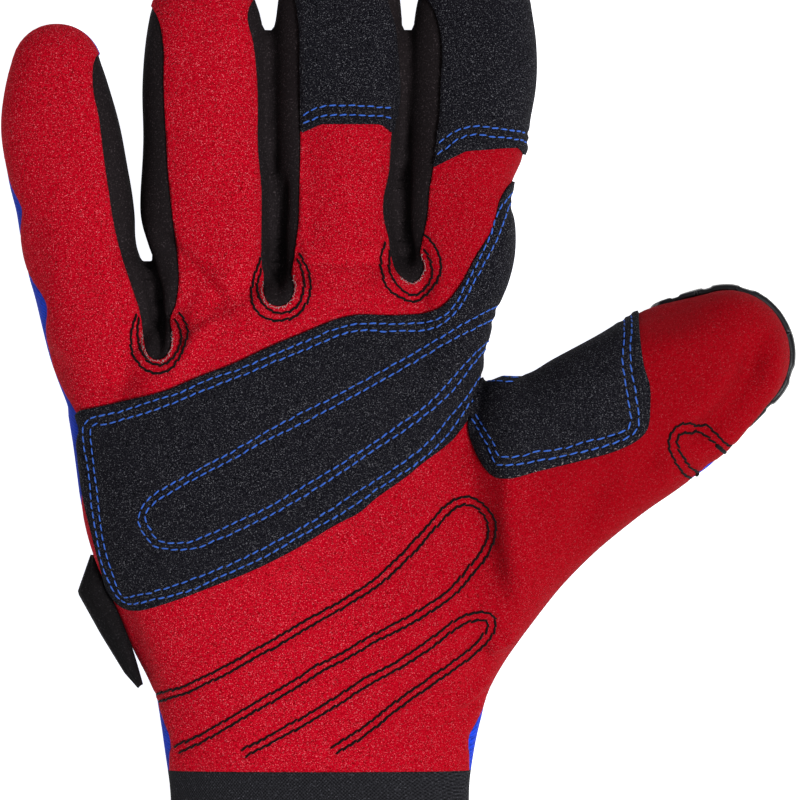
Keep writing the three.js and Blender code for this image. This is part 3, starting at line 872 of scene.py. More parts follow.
@dataclass
class Graph:
    """A material's nodes, added and linked by short calls."""

    name: str
    material: bpy.types.Material = field(init=False)

    def __post_init__(self) -> None:
        self.material = bpy.data.materials.new(self.name)
        self.material.use_nodes = True
        self.tree = self.material.node_tree
        self.tree.nodes.clear()
        self.shader = self.add("ShaderNodeBsdfPrincipled")
        output = self.add("ShaderNodeOutputMaterial")
        self.tree.links.new(self.shader.outputs["BSDF"], output.inputs["Surface"])
        self.place = self.add("ShaderNodeTexCoord").outputs["Object"]

    def add(self, kind: str, **settings: object) -> bpy.types.Node:
        """A new node with its settings."""
        node = self.tree.nodes.new(kind)
        for name, value in settings.items():
            setattr(node, name, value)
        return node

    def put(self, socket: bpy.types.NodeSocket, value: object) -> None:
        """Links a socket to another, or sets its own value."""
        if isinstance(value, bpy.types.NodeSocket):
            self.tree.links.new(value, socket)
        else:
            socket.default_value = value

    def noise(self, scale: float, detail: float, rough: float = 0.5) -> object:
        """Noise from 0 to 1; the scale is in features per metre."""
        node = self.add("ShaderNodeTexNoise")
        self.put(node.inputs["Vector"], self.place)
        node.inputs["Scale"].default_value = scale
        node.inputs["Detail"].default_value = detail
        node.inputs["Roughness"].default_value = rough
        return node.outputs["Fac"]

    def cells(self, scale: float) -> object:
        """Softened distance to the nearest of scattered points."""
        node = self.add("ShaderNodeTexVoronoi", feature="SMOOTH_F1")
        self.put(node.inputs["Vector"], self.place)
        node.inputs["Scale"].default_value = scale
        return node.outputs["Distance"]

    def sums(self, operation: str, *values: object) -> object:
        """One step of arithmetic on sockets or numbers."""
        node = self.add("ShaderNodeMath", operation=operation)
        for socket, value in zip(node.inputs, values):
            self.put(socket, value)
        return node.outputs["Value"]

    def span(self, value: object, low: float, high: float, start: float = 0.0, end: float = 1.0) -> object:
        """A value's range from low to high turned smoothly into another and held at its ends."""
        node = self.add("ShaderNodeMapRange", interpolation_type="SMOOTHSTEP")
        self.put(node.inputs["Value"], value)
        for name, number in (("From Min", low), ("From Max", high), ("To Min", start), ("To Max", end)):
            node.inputs[name].default_value = number
        return node.outputs["Result"]

    def blend(self, share: object, first: object, second: object) -> object:
        """A mix of two colours."""
        node = self.add("ShaderNodeMix", data_type="RGBA")
        self.put(node.inputs[0], share)
        for socket, value in ((node.inputs[6], first), (node.inputs[7], second)):
            self.put(socket, (*value, 1.0) if isinstance(value, tuple) else value)
        return node.outputs[2]

    def axis(self, name: str) -> object:
        """One coordinate of the place on the object, in metres."""
        node = self.add("ShaderNodeSeparateXYZ")
        self.put(node.inputs[0], self.place)
        return node.outputs[name]

    def bump(self, height: object, depth_mm: float) -> object:
        """A bumped normal whose full height is some millimetres."""
        node = self.add("ShaderNodeBump")
        node.inputs["Strength"].default_value = 1.0
        node.inputs["Distance"].default_value = depth_mm * MM
        self.put(node.inputs["Height"], height)
        return node.outputs["Normal"]

    def finish(self, colour: object, rough: object, normal: object, **fixed: float) -> bpy.types.Material:
        """Links colour, roughness and normal and sets the shader's own sockets.

        Args:
            colour: Base colour.
            rough: Roughness.
            normal: Bumped normal.
            fixed: Values for sockets, named with underscores for spaces.

        Returns:
            The material.
        """
        self.put(self.shader.inputs["Base Color"], colour)
        self.put(self.shader.inputs["Roughness"], rough)
        self.put(self.shader.inputs["Normal"], normal)
        for name, value in fixed.items():
            self.shader.inputs[name.replace("_", " ")].default_value = value
        return self.material


Colour = tuple[float, float, float]


def shade(colour: Colour, amount: float) -> Colour:
    """A colour made lighter or darker by a factor."""
    return tuple(min(1.0, part * amount) for part in colour)


@dataclass(frozen=True)
class Suede:
    """Grainy synthetic suede: tight pebbles with pale fibre tips and darker hollows, and where set, painted
    shade that darkens it towards the thumb side.
    """

    name: str
    base: Colour
    dark: Colour
    tips: Colour
    grain: float = 2500.0
    relief: float = 0.2
    # Share of painted shade that darkens the suede towards +X, the thumb side
    thumb_side_shade: float = 0.0

    def make(self) -> bpy.types.Material:
        """The suede's material."""
        g = Graph(self.name)
        fine = g.noise(self.grain * 1.6, 3.0, 0.62)
        pebbles = g.cells(self.grain)
        height = g.sums("MULTIPLY_ADD", pebbles, -0.7, fine)
        hollows = g.span(height, -0.1, 0.32)
        blotch = g.span(g.noise(160.0, 3.0), 0.3, 0.7)
        colour = g.blend(hollows, self.dark, self.base)
        colour = g.blend(g.sums("MULTIPLY", blotch, 0.22), colour, shade(self.base, 0.72))
        tips = g.span(g.noise(self.grain * 1.3, 2.0, 0.7), 0.56, 0.74)
        colour = g.blend(tips, colour, self.tips)
        # Painted shade: the colour darkens towards +X so that the thumb side looks shaded
        if self.thumb_side_shade:
            painted_thumb_shade = g.span(g.axis("X"), -0.03, 0.06, 0.0, self.thumb_side_shade)
            colour = g.blend(painted_thumb_shade, colour, self.dark)
        rough = g.span(fine, 0.2, 0.8, 0.98, 0.72)
        normal = g.bump(height, self.relief)
        return g.finish(colour, rough, normal, Sheen_Weight=0.01, Sheen_Roughness=0.4,
                        Specular_IOR_Level=0.03)


@dataclass(frozen=True)
class Knit:
    """Fine blue knit: columns of small loops."""

    name: str
    base: Colour
    wale: float = 1.1

    def make(self) -> bpy.types.Material:
        """The knit's material."""
        g = Graph(self.name)
        turn = 2 * math.pi / (self.wale * MM)
        x, y, z = g.axis("X"), g.axis("Y"), g.axis("Z")
        x = g.sums("MULTIPLY_ADD", z, 0.8, x)
        y = g.sums("MULTIPLY_ADD", z, 0.6, y)
        column = g.sums("SINE", g.sums("MULTIPLY", x, turn))
        slant = g.sums("ABSOLUTE", column)
        course = g.sums("MULTIPLY_ADD", y, turn * 1.3, g.sums("MULTIPLY", slant, 2.4))
        loops = g.sums("MULTIPLY_ADD", g.sums("SINE", course), 0.5, slant)
        fuzz = g.noise(3000.0, 3.0, 0.6)
        height = g.sums("MULTIPLY_ADD", fuzz, 0.5, loops)
        colour = g.blend(g.span(height, -0.2, 1.5), shade(self.base, 0.45), shade(self.base, 1.25))
        colour = g.blend(g.span(g.noise(90.0, 3.0), 0.35, 0.75, 0.0, 0.3), colour, shade(self.base, 0.6))
        return g.finish(colour, g.span(fuzz, 0.2, 0.8, 0.9, 0.7), g.bump(height, 0.12), Sheen_Weight=0.03,
                        Sheen_Roughness=0.4, Specular_IOR_Level=0.15)


@dataclass(frozen=True)
class Cloth:
    """Plain or slanted weave of fine yarns, as on stretch cloth, wrist cloth, tape and label."""

    name: str
    base: Colour
    yarn: float
    slant: float = 0.0
    relief: float = 0.08
    rough: float = 0.85
    show: float = 0.5

    def make(self) -> bpy.types.Material:
        """The cloth's material."""
        g = Graph(self.name)
        turn = 2 * math.pi / (self.yarn * MM)
        x, y, z = g.axis("X"), g.axis("Y"), g.axis("Z")
        across = g.sums("MULTIPLY_ADD", g.sums("ADD", x, z), turn, g.sums("MULTIPLY", y, turn * self.slant))
        along = g.sums("MULTIPLY", y, turn)
        weave = g.sums("MULTIPLY", g.sums("SINE", across), g.sums("SINE", along))
        fuzz = g.noise(2600.0, 3.0, 0.65)
        height = g.sums("MULTIPLY_ADD", weave, self.show, fuzz)
        colour = g.blend(g.span(height, -0.1, 1.1), shade(self.base, 0.5), shade(self.base, 2.0))
        lint = g.span(g.noise(2200.0, 2.0, 0.7), 0.55, 0.8, 0.0, 0.8)
        colour = g.blend(lint, colour, shade(self.base, 9.0))
        return g.finish(colour, g.span(fuzz, 0.2, 0.8, self.rough + 0.08, self.rough - 0.1),
                        g.bump(height, self.relief), Sheen_Weight=0.005, Sheen_Roughness=0.4,
                        Specular_IOR_Level=0.03)


@dataclass(frozen=True)
class Rubber:
    """Moulded soft rubber: satin black with faint mould texture and scuffed high places."""

    name: str
    base: Colour

    def make(self) -> bpy.types.Material:
        """The rubber's material."""
        g = Graph(self.name)
        pores = g.noise(2400.0, 3.0, 0.6)
        scuffs = g.span(g.noise(260.0, 4.0, 0.7), 0.55, 0.75)
        colour = g.blend(g.sums("MULTIPLY", scuffs, 0.5), self.base, shade(self.base, 3.0))
        rough = g.span(g.sums("MULTIPLY_ADD", scuffs, 0.4, pores), 0.3, 1.0, 0.42, 0.62)
        return g.finish(colour, rough, g.bump(pores, 0.05), Specular_IOR_Level=0.28)


@dataclass(frozen=True)
class Thread:
    """Spun sewing thread with a fine slanted twist."""

    name: str
    base: Colour
    dark: Colour
    twist: float = 22000.0

    def make(self) -> bpy.types.Material:
        """The thread's material."""
        g = Graph(self.name)
        twist = g.sums("SINE", g.sums("MULTIPLY", g.sums("ADD", g.axis("X"), g.axis("Y")), self.twist))
        fuzz = g.noise(5000.0, 2.0, 0.6)
        height = g.sums("MULTIPLY_ADD", twist, 0.4, fuzz)
        colour = g.blend(g.span(height, -0.2, 1.0), self.dark, self.base)
        return g.finish(colour, g.span(fuzz, 0.2, 0.8, 0.85, 0.65), g.bump(height, 0.04),
                        Sheen_Weight=0.02, Sheen_Roughness=0.4, Specular_IOR_Level=0.12)


# The red suede carries painted shade that darkens it towards the thumb side
RED_SUEDE = Suede("red_suede", (0.5, 0.0005, 0.012), (0.2, 0.0, 0.002), (0.85, 0.16, 0.2), thumb_side_shade=0.74)
BLACK_SUEDE = Suede("black_suede", (0.009, 0.0085, 0.012), (0.001, 0.001, 0.002), (0.17, 0.17, 0.19))
BLUE_KNIT = Knit("blue_knit", (0.004, 0.04, 0.55))
BLACK_STRETCH = Cloth("black_stretch", (0.010, 0.0078, 0.0085), 0.4, slant=1.0, show=0.08)
CUFF_CLOTH = Cloth("cuff_cloth", (0.011, 0.011, 0.013), 0.9, relief=0.15)
BINDING_TAPE = Cloth("binding_tape", (0.013, 0.013, 0.015), 0.7, slant=0.5, relief=0.12)
TAG_CLOTH = Cloth("tag_cloth", (0.0055, 0.005, 0.0055), 0.35, relief=0.05, rough=0.7)
BLACK_RUBBER = Rubber("black_rubber", (0.009, 0.009, 0.011))
BLUE_THREAD = Thread("blue_thread", (0.065, 0.19, 0.7), (0.01, 0.04, 0.3))
BLACK_THREAD = Thread("black_thread", (0.006, 0.005, 0.006), (0.001, 0.001, 0.001))
PALE_FIBRE = Thread("pale_fibre", (0.42, 0.34, 0.34), (0.2, 0.12, 0.12))


def raise_sheet(bm: bmesh.types.BMesh, thickness: np.ndarray, sink: float = 0.1,
                on_floor: bool = False) -> None:
    """Turns a sheet into a closed slab that stands out from it.

    Args:
        bm: The sheet, changed in place.
        thickness: How far each vertex's copy moves out along the normal, in millimetres.
        sink: How far the sheet itself moves in, so that the slab bites into what carries it.
        on_floor: Whether the slab is pressed flat where it would go below the floor.
    """
    bm.normal_update()
    out = bm.verts.layers.float_vector.new("out")
    rise = bm.verts.layers.float.new("rise")
    for vert, amount in zip(bm.verts, thickness):
        vert[out] = vert.normal
        vert[rise] = amount
    inner = bm.verts[:]
    outer = bmesh.ops.extrude_face_region(bm, geom=bm.faces[:], use_keep_orig=True)["geom"]
    for vert in inner:
        vert.co -= vert[out] * sink * MM
    for vert in (item for item in outer if isinstance(item, bmesh.types.BMVert)):
        vert.co += vert[out] * vert[rise] * MM
        if on_floor:
            vert.co.z = max(vert.co.z, 0.0)
    bm.verts.layers.float_vector.remove(bm.verts.layers.float_vector["out"])
    bm.verts.layers.float.remove(bm.verts.layers.float["rise"])
    bmesh.ops.recalc_face_normals(bm, faces=bm.faces)


def grooves(points: np.ndarray, rows: Iterable[Outline], depth: float, half: float) -> np.ndarray:
    """Depth of the furrows that rows of stitches pull into a surface, at each point."""
    pressed = np.zeros(len(points))
    for row in rows:
        pressed = np.maximum(pressed, depth * np.exp(-((row.distance(points, 6.0) / half) ** 2)))
    return pressed


@dataclass(frozen=True)
class Crease:
    """A fold along a curve: a ridge, or a valley where its height is below zero."""

    points: tuple[Point, ...]
    height: float
    left: float
    right: float

    def lift(self, points: np.ndarray) -> np.ndarray:
        """Height that the fold adds at each point, fading out at both its ends."""
        gap, share = Outline(self.points).beside(points, 3.5 * max(self.left, self.right))
        width = np.where(gap > 0, self.left, self.right)
        fade = smoothstep(0.0, 0.25, share) * (1 - smoothstep(0.75, 1.0, share))
        return self.height * np.exp(-((gap / width) ** 2)) * fade


@dataclass(frozen=True)
class Dent:
    """A round or oblong hollow, or a swelling where its depth is below zero."""

    x: float
    y: float
    half_x: float
    half_y: float
    depth: float
    turn: float = 0.0

    def lift(self, points: np.ndarray) -> np.ndarray:
        """Height that the hollow takes away at each point."""
        cos, sin = math.cos(math.radians(self.turn)), math.sin(math.radians(self.turn))
        x, y = points[:, 0] - self.x, points[:, 1] - self.y
        along, across = x * cos + y * sin, y * cos - x * sin
        return -self.depth * np.exp(-((along / self.half_x) ** 2) - (across / self.half_y) ** 2)


RELIEF: tuple[Crease | Dent, ...] = (
    Crease(
        (
            (21, 16), (17.5, 9), (15, 1.2), (16.3, -8.8), (17.3, -17.5), (19.3, -27.5), (22.3, -36),
            (28, -45),
        ),
        height=-4.0, left=6.0, right=5.0,
    ),
    Crease(
        ((25.5, 4), (26, -3), (26.6, -10), (26.8, -20), (27.3, -30), (28.8, -39), (31, -47)),
        height=2.2, left=5.5, right=2.8,
    ),
    Crease(
        ((-33, 66), (-36.3, 53.8), (-39.3, 43), (-43.8, 33), (-50, 25), (-56, 16), (-66, 9)),
        height=1.3, left=3.0, right=5.5,
    ),
    Crease(
        ((-62, 51), (-56.5, 44.5), (-51.5, 40.5), (-47, 35.8), (-44, 31), (-42, 26)),
        height=-2.4, left=2.1, right=4.5,
    ),
    Crease(
        ((-34, 40), (-40.2, 35), (-44.5, 31.4), (-47.8, 28.8), (-52.5, 24.6), (-58, 19)),
        height=-1.0, left=1.8, right=3.5,
    ),
    Crease(((-49, 40), (-52.5, 33), (-54.5, 27), (-55, 18)), height=-0.6, left=2.2, right=2.2),
    Crease(((-95, 20), (-84, 15), (-74, 12), (-62, 12.5)), height=-2.2, left=3.6, right=3.6),
    Crease(((-24, 88), (-23, 68), (-22, 52), (-21, 40)), height=-1.0, left=5.0, right=3.0),
    Crease(((-24, 42.5), (-13, 41.5), (-2, 42.2)), height=-1.1, left=1.8, right=1.8),
    Dent(20.3, -58.5, 5.0, 4.5, 1.1),
    Crease(((29.5, -51.5), (26, -53.3), (21.5, -55.5)), height=1.2, left=1.3, right=1.3),
    Crease(((24, -61), (19.5, -65.2), (13.5, -69.5)), height=1.2, left=1.4, right=1.4),
    Crease(((24, -63.5), (19.5, -67.7), (12.5, -72)), height=-1.2, left=1.5, right=1.5),
    Dent(-91, 45, 4.5, 12, 1.2),
    Dent(67, 29.5, 12, 6.0, 2.6, 12),
    Crease(
        ((89, 26), (88.5, 19), (86.5, 12), (82, 5), (75, -1), (68, -5)),
        height=-3.3, left=3.6, right=3.6,
    ),
    Crease(
        ((92, 26), (93.2, 19), (92, 12), (88, 4), (81.5, -3), (75, -8)),
        height=1.5, left=2.8, right=2.8,
    ),
    Dent(47.5, -20, 5.0, 9, 3.0, -25),
    Dent(62.5, -8, 3.6, 6.5, 2.0, -20),
    Dent(-69, -50, 15, 4.4, 3.0, -66),
    Dent(30, -60, 12, 8, 0.8),
)

# Creases where the two stretch strips of a crotch lie against each other
STRIP_CREASES: tuple[Crease | Dent, ...] = (
    Crease(
        ((-65.5, 56), (-64.2, 46), (-62.6, 40), (-61.2, 34), (-60.4, 29), (-60.1, 24), (-60.6, 15)),
        height=-2.6, left=1.2, right=1.2,
    ),
    Crease(
        ((-29.5, 66), (-30, 56), (-30.6, 46), (-30.4, 38), (-30.2, 30)),
        height=-1.5, left=1.2, right=1.2,
    ),
    Crease(((1, 70), (0.6, 60), (0.6, 50), (2, 42), (3, 36)), height=-1.5, left=1.2, right=1.2),
    Dent(-63.4, 31, 2.2, 6, -0.9, 12),
    Dent(-58, 31, 2.0, 6, -0.9, -8),
    Dent(-65.4, 53, 5, 14, -1.9),
)


@dataclass
class GloveSkin:
    """The glove's surface with its folds, cut along its seams into panels."""

    form: GloveForm
    fade_low: float = 17.0
    fade_high: float = 25.0
    seam_sink: float = 0.55
    seam_half: float = 1.3

    def cut(self) -> dict[Region, bmesh.types.BMesh]:
        """Presses the folds in and cuts the surface.

        Returns:
            One open sheet for each panel, lying side by side.
        """
        bm = self.form.build()
        self._fold(bm)
        for region in GAPS:
            divide(bm, gap_field(region)(coordinates(bm)))
        divide(bm, palm_field(coordinates(bm)))
        divide(bm, cuff_field(coordinates(bm)))
        middles = centres(bm)
        owner = np.where(palm_field(middles) > 0, 0, 1)
        for index, region in enumerate(GAPS):
            owner[gap_field(region)(middles) > 0] = index + 2
        owner[cuff_field(middles) > 0] = 5
        order = (Region.PALM, Region.BACK, *GAPS, Region.CUFF)
        panels = {region: keep_faces(bm, owner == index) for index, region in enumerate(order)}
        bm.free()
        return panels

    def _fold(self, bm: bmesh.types.BMesh) -> None:
        """Moves the surface along its normals by the folds' heights, and draws the side seam in."""
        bm.normal_update()
        points = coordinates(bm)
        move = sum(part.lift(points) for part in RELIEF)
        move *= smoothstep(self.fade_low, self.fade_high, points[:, 2])
        seam = np.abs(palm_field(points))
        move -= self.seam_sink * np.exp(-((seam / self.seam_half) ** 2))
        shift(bm, move)


def shift(bm: bmesh.types.BMesh, amounts: np.ndarray) -> None:
    """Moves every vertex along its normal by its own amount in millimetres."""
    for vert, amount in zip(bm.verts, amounts):
        vert.co += vert.normal * amount * MM


@dataclass
class Panels:
    """Suede palm, knit back and the stretch strips between the fingers."""

    sheets: dict[Region, bmesh.types.BMesh]
    strip_wall: float = 1.3
    strip_sink: float = 0.5
    strip_rounds: int = 12
    strip_edge: float = 1.5
    groove: float = 0.25
    groove_half: float = 0.7
    finer: float = 1.6

    def build(self, finishes: dict[str, bpy.types.Material]) -> bmesh.types.BMesh:
        """Dresses every panel but the cuff.

        Args:
            finishes: Materials by slot.

        Returns:
            The palm's outer surface, for what lies on it.
        """
        palm = self.sheets[Region.PALM]
        surface = palm.copy()
        self._stitch_grooves(palm)
        dress("palm_suede", palm, finishes["red_suede"], "red_suede", "palm_panel", WALL)
        dress("back_knit", self.sheets[Region.BACK], finishes["blue_knit"], "blue_knit", "back_panel", WALL)
        for region in GAPS:
            self._strip(region, finishes["black_stretch"])
        return surface

    def _strip(self, region: Region, finish: bpy.types.Material) -> None:
        """Draws one strip between two fingers taut, sinks it and creases it."""
        strip = self.sheets[region]
        relax(strip, [vert for vert in strip.verts if not vert.is_boundary], self.strip_rounds)
        strip.normal_update()
        points = coordinates(strip)
        lift = sum(part.lift(points) for part in STRIP_CREASES)
        edge = np.minimum(gap_field(region)(points), self.strip_edge) / self.strip_edge
        shift(strip, lift * edge - self.strip_sink)
        strip.normal_update()
        name = region.value.replace("fourchette", "strip")
        dress(name, strip, finish, "black_stretch", region.value, self.strip_wall)

    def _stitch_grooves(self, palm: bmesh.types.BMesh) -> None:
        """Refines the suede near the black seams and lets the thread pull into it."""
        rows = BLACK_ROWS + NOTCH_ROWS
        points = coordinates(palm)
        near = np.zeros(len(points), bool)
        for row in rows:
            near |= row.distance(points, 3.0) < self.finer
        edges = [e for e in palm.edges if near[e.verts[0].index] and near[e.verts[1].index]]
        bmesh.ops.subdivide_edges(palm, edges=edges, cuts=1, use_grid_fill=True)
        palm.normal_update()
        shift(palm, -grooves(coordinates(palm), rows, self.groove, self.groove_half))


@dataclass
class GripPatch:
    """A grip patch sewn on top of the palm's suede."""

    name: str
    node: str
    outline: Outline
    rows: tuple[Outline, ...]
    pitch: float = 2.4
    rise: float = 1.1
    groove: float = 0.42
    groove_half: float = 0.75
    edge_drop: float = 0.35
    edge_half: float = 0.7

    def build(self, palm: bmesh.types.BMesh, finish: bpy.types.Material) -> BVHTree:
        """Cuts the patch out of the palm's surface and gives it its thickness.

        Args:
            palm: The palm's outer surface.
            finish: The patch's material.

        Returns:
            A tree of its surface to lay stitches on.
        """
        patch = cut_out(palm, self.outline.signed)
        points = coordinates(patch)
        edge = np.maximum(self.outline.signed(points), 0)
        thickness = self.rise - self.edge_drop * np.exp(-((edge / self.edge_half) ** 2))
        thickness -= grooves(points, self.rows, self.groove, self.groove_half)
        raise_sheet(patch, thickness)
        tree = BVHTree.FromBMesh(patch)
        dress(self.name, patch, finish, "black_suede", self.node)
        return tree


PATCHES = (
    GripPatch("palm_grip", "palm_patch", PALM_PATCH, PALM_EDGE_ROWS + PALM_LOOP_ROWS),
    GripPatch("thumb_grip", "thumb_patch", THUMB_PATCH, THUMB_ROWS + WEB_ROWS, pitch=2.75),
    GripPatch("middle_tip_grip", "middle_tip_patch", MIDDLE_TIP_PATCH, MIDDLE_TIP_ROWS),
    GripPatch("index_tip_grip", "index_tip_patch", INDEX_TIP_PATCH, INDEX_TIP_ROWS),
)


@dataclass
class Sewing:
    """Rows of lockstitches as joined meshes of one small stitch."""

    pitch: float
    dash: float
    width: float
    seed: int
    wander: float = 0.07
    tilt: float = 0.09
    unruly: float = 0.05
    walk: float = 0.3
    lowest: float = 5.0

    def sew(self, name: str, slot: str, finish: bpy.types.Material, rows: Iterable[Outline],
            tree: BVHTree) -> None:
        """Lays rows of stitches on the surface below them.

        Args:
            name: The joined piece's name.
            slot: Not used.
            finish: The thread's material.
            rows: The rows.
            tree: The surface that they lie on.
        """
        rng = np.random.default_rng(self.seed)
        frames = []
        for row in rows:
            frames += self._frames(row, tree, rng)
        corners, faces = self._stitch()
        points = np.vstack([centre + (corners * size) @ axes for centre, axes, size in frames])
        polygons = [[i + n * len(corners) for i in face] for n in range(len(frames)) for face in faces]
        mesh = bpy.data.meshes.new(name)
        mesh.from_pydata((points * MM).tolist(), [], polygons)
        declare(add_object(name, mesh, finish), slot)

    def _stitch(self, blunt: float = 0.55, dip: float = 0.45) -> tuple[np.ndarray, list[list[int]]]:
        """Corners and faces of one stitch, of size one: a blunt grain whose ends dip into the cloth."""
        grain = bmesh.new()
        bmesh.ops.create_uvsphere(grain, u_segments=8, v_segments=7, radius=0.5)
        upright = Matrix.Rotation(math.pi / 2, 3, "Y")
        bmesh.ops.rotate(grain, verts=grain.verts, cent=(0, 0, 0), matrix=upright)
        corners = np.array([vert.co[:] for vert in grain.verts])
        corners[:, 0] = np.sign(corners[:, 0]) * 0.5 * np.abs(2 * corners[:, 0]) ** blunt
        corners[:, 2] -= dip * (2 * corners[:, 0]) ** 4
        faces = [[vert.index for vert in face.verts] for face in grain.faces]
        grain.free()
        return corners, faces

    def _frames(self, row: Outline, tree: BVHTree, rng: np.random.Generator) -> list:
        """Place, axes and size of each stitch along a row."""
        path = []
        for x, y in row.path(self.walk):
            hit, normal, _, _ = tree.ray_cast(Vector((x, y, 80.0)) * MM, Vector((0, 0, -1)))
            if hit is not None and hit.z > self.lowest * MM:
                path.append((*(hit / MM), *normal))
        if len(path) < 4:
            return []
        path = np.array(path)
        run = np.concatenate([[0.0], np.cumsum(np.linalg.norm(np.diff(path[:, :3], axis=0), axis=1))])
        frames = []
        for start in np.arange(self.pitch * 0.3, run[-1] - self.dash, self.pitch):
            both = (start, start + self.dash)
            ends = np.array([[np.interp(at, run, path[:, k]) for k in range(6)] for at in both])
            along = ends[1, :3] - ends[0, :3]
            length = np.linalg.norm(along)
            if length < self.dash * 0.6:
                continue
            along /= length
            normal = ends[:, 3:].mean(0)
            normal -= along * normal.dot(along)
            normal /= np.linalg.norm(normal)
            side = np.cross(normal, along)
            centre = ends[:, :3].mean(0) + normal * self.width * 0.2 + side * rng.normal(0, self.wander)
            along = along + side * rng.normal(self.tilt, self.unruly)
            side = np.cross(normal, along)
            axes = np.array([along / np.linalg.norm(along), side, normal])
            size = np.array([length + 0.2, self.width * rng.uniform(0.9, 1.1), self.width * 0.9])
            frames.append((centre, axes, size))
        return frames


# Name, slot, thread, piece below, rows and sewing of what is sewn or frayed outside the patches' own rows
THREADWORK = (
    ("black_stitches", "black_stretch", "black_thread", "palm_suede", BLACK_ROWS + NOTCH_ROWS,
     Sewing(pitch=2.0, dash=2.25, width=0.58, wander=0.08, tilt=0.17, seed=5)),
    ("bar_tacks", "black_stretch", "black_thread", "palm_suede", BAR_TACKS,
     Sewing(pitch=0.9, dash=1.5, width=1.0, wander=0.1, seed=7)),
    ("edge_fibres", "red_suede", "pale_fibre", "palm_suede", FRAYED_EDGES,
     Sewing(pitch=0.5, dash=0.42, width=0.12, wander=0.14, tilt=0.0, unruly=1.4, seed=23)),
    ("patch_fibres", "black_suede", "pale_fibre", "thumb_grip", RAW_PATCH_EDGE,
     Sewing(pitch=2.3, dash=0.5, width=0.12, wander=0.1, tilt=0.0, unruly=0.5, seed=29)),
)


@dataclass(frozen=True)
class FingerStrip:
    """Where one finger's guard starts and ends along the finger."""

    name: str
    digit: Digit
    start: float
    end: float


FINGER_STRIPS = (
    FingerStrip("little", LITTLE, 28, 92),
    FingerStrip("ring", RING, 36, 108),
    FingerStrip("middle", MIDDLE, 44, 114),
    FingerStrip("index", INDEX, 40, 108),
)

# Left, right, lower and upper side of each knuckle's pad
KNUCKLE_PADS = ((-76, -60, -14, 8), (-56, -34, -8, 20), (-29, -4, -5, 25), (1, 17, -10, 22))

# Places along the thumb, and how high its guard's rim climbs there
THUMB_RIM_PLACES = (42, 54, 62, 70, 90)
THUMB_RIM_HEIGHTS = (6.5, 10, 17, 20.5, 20.5)


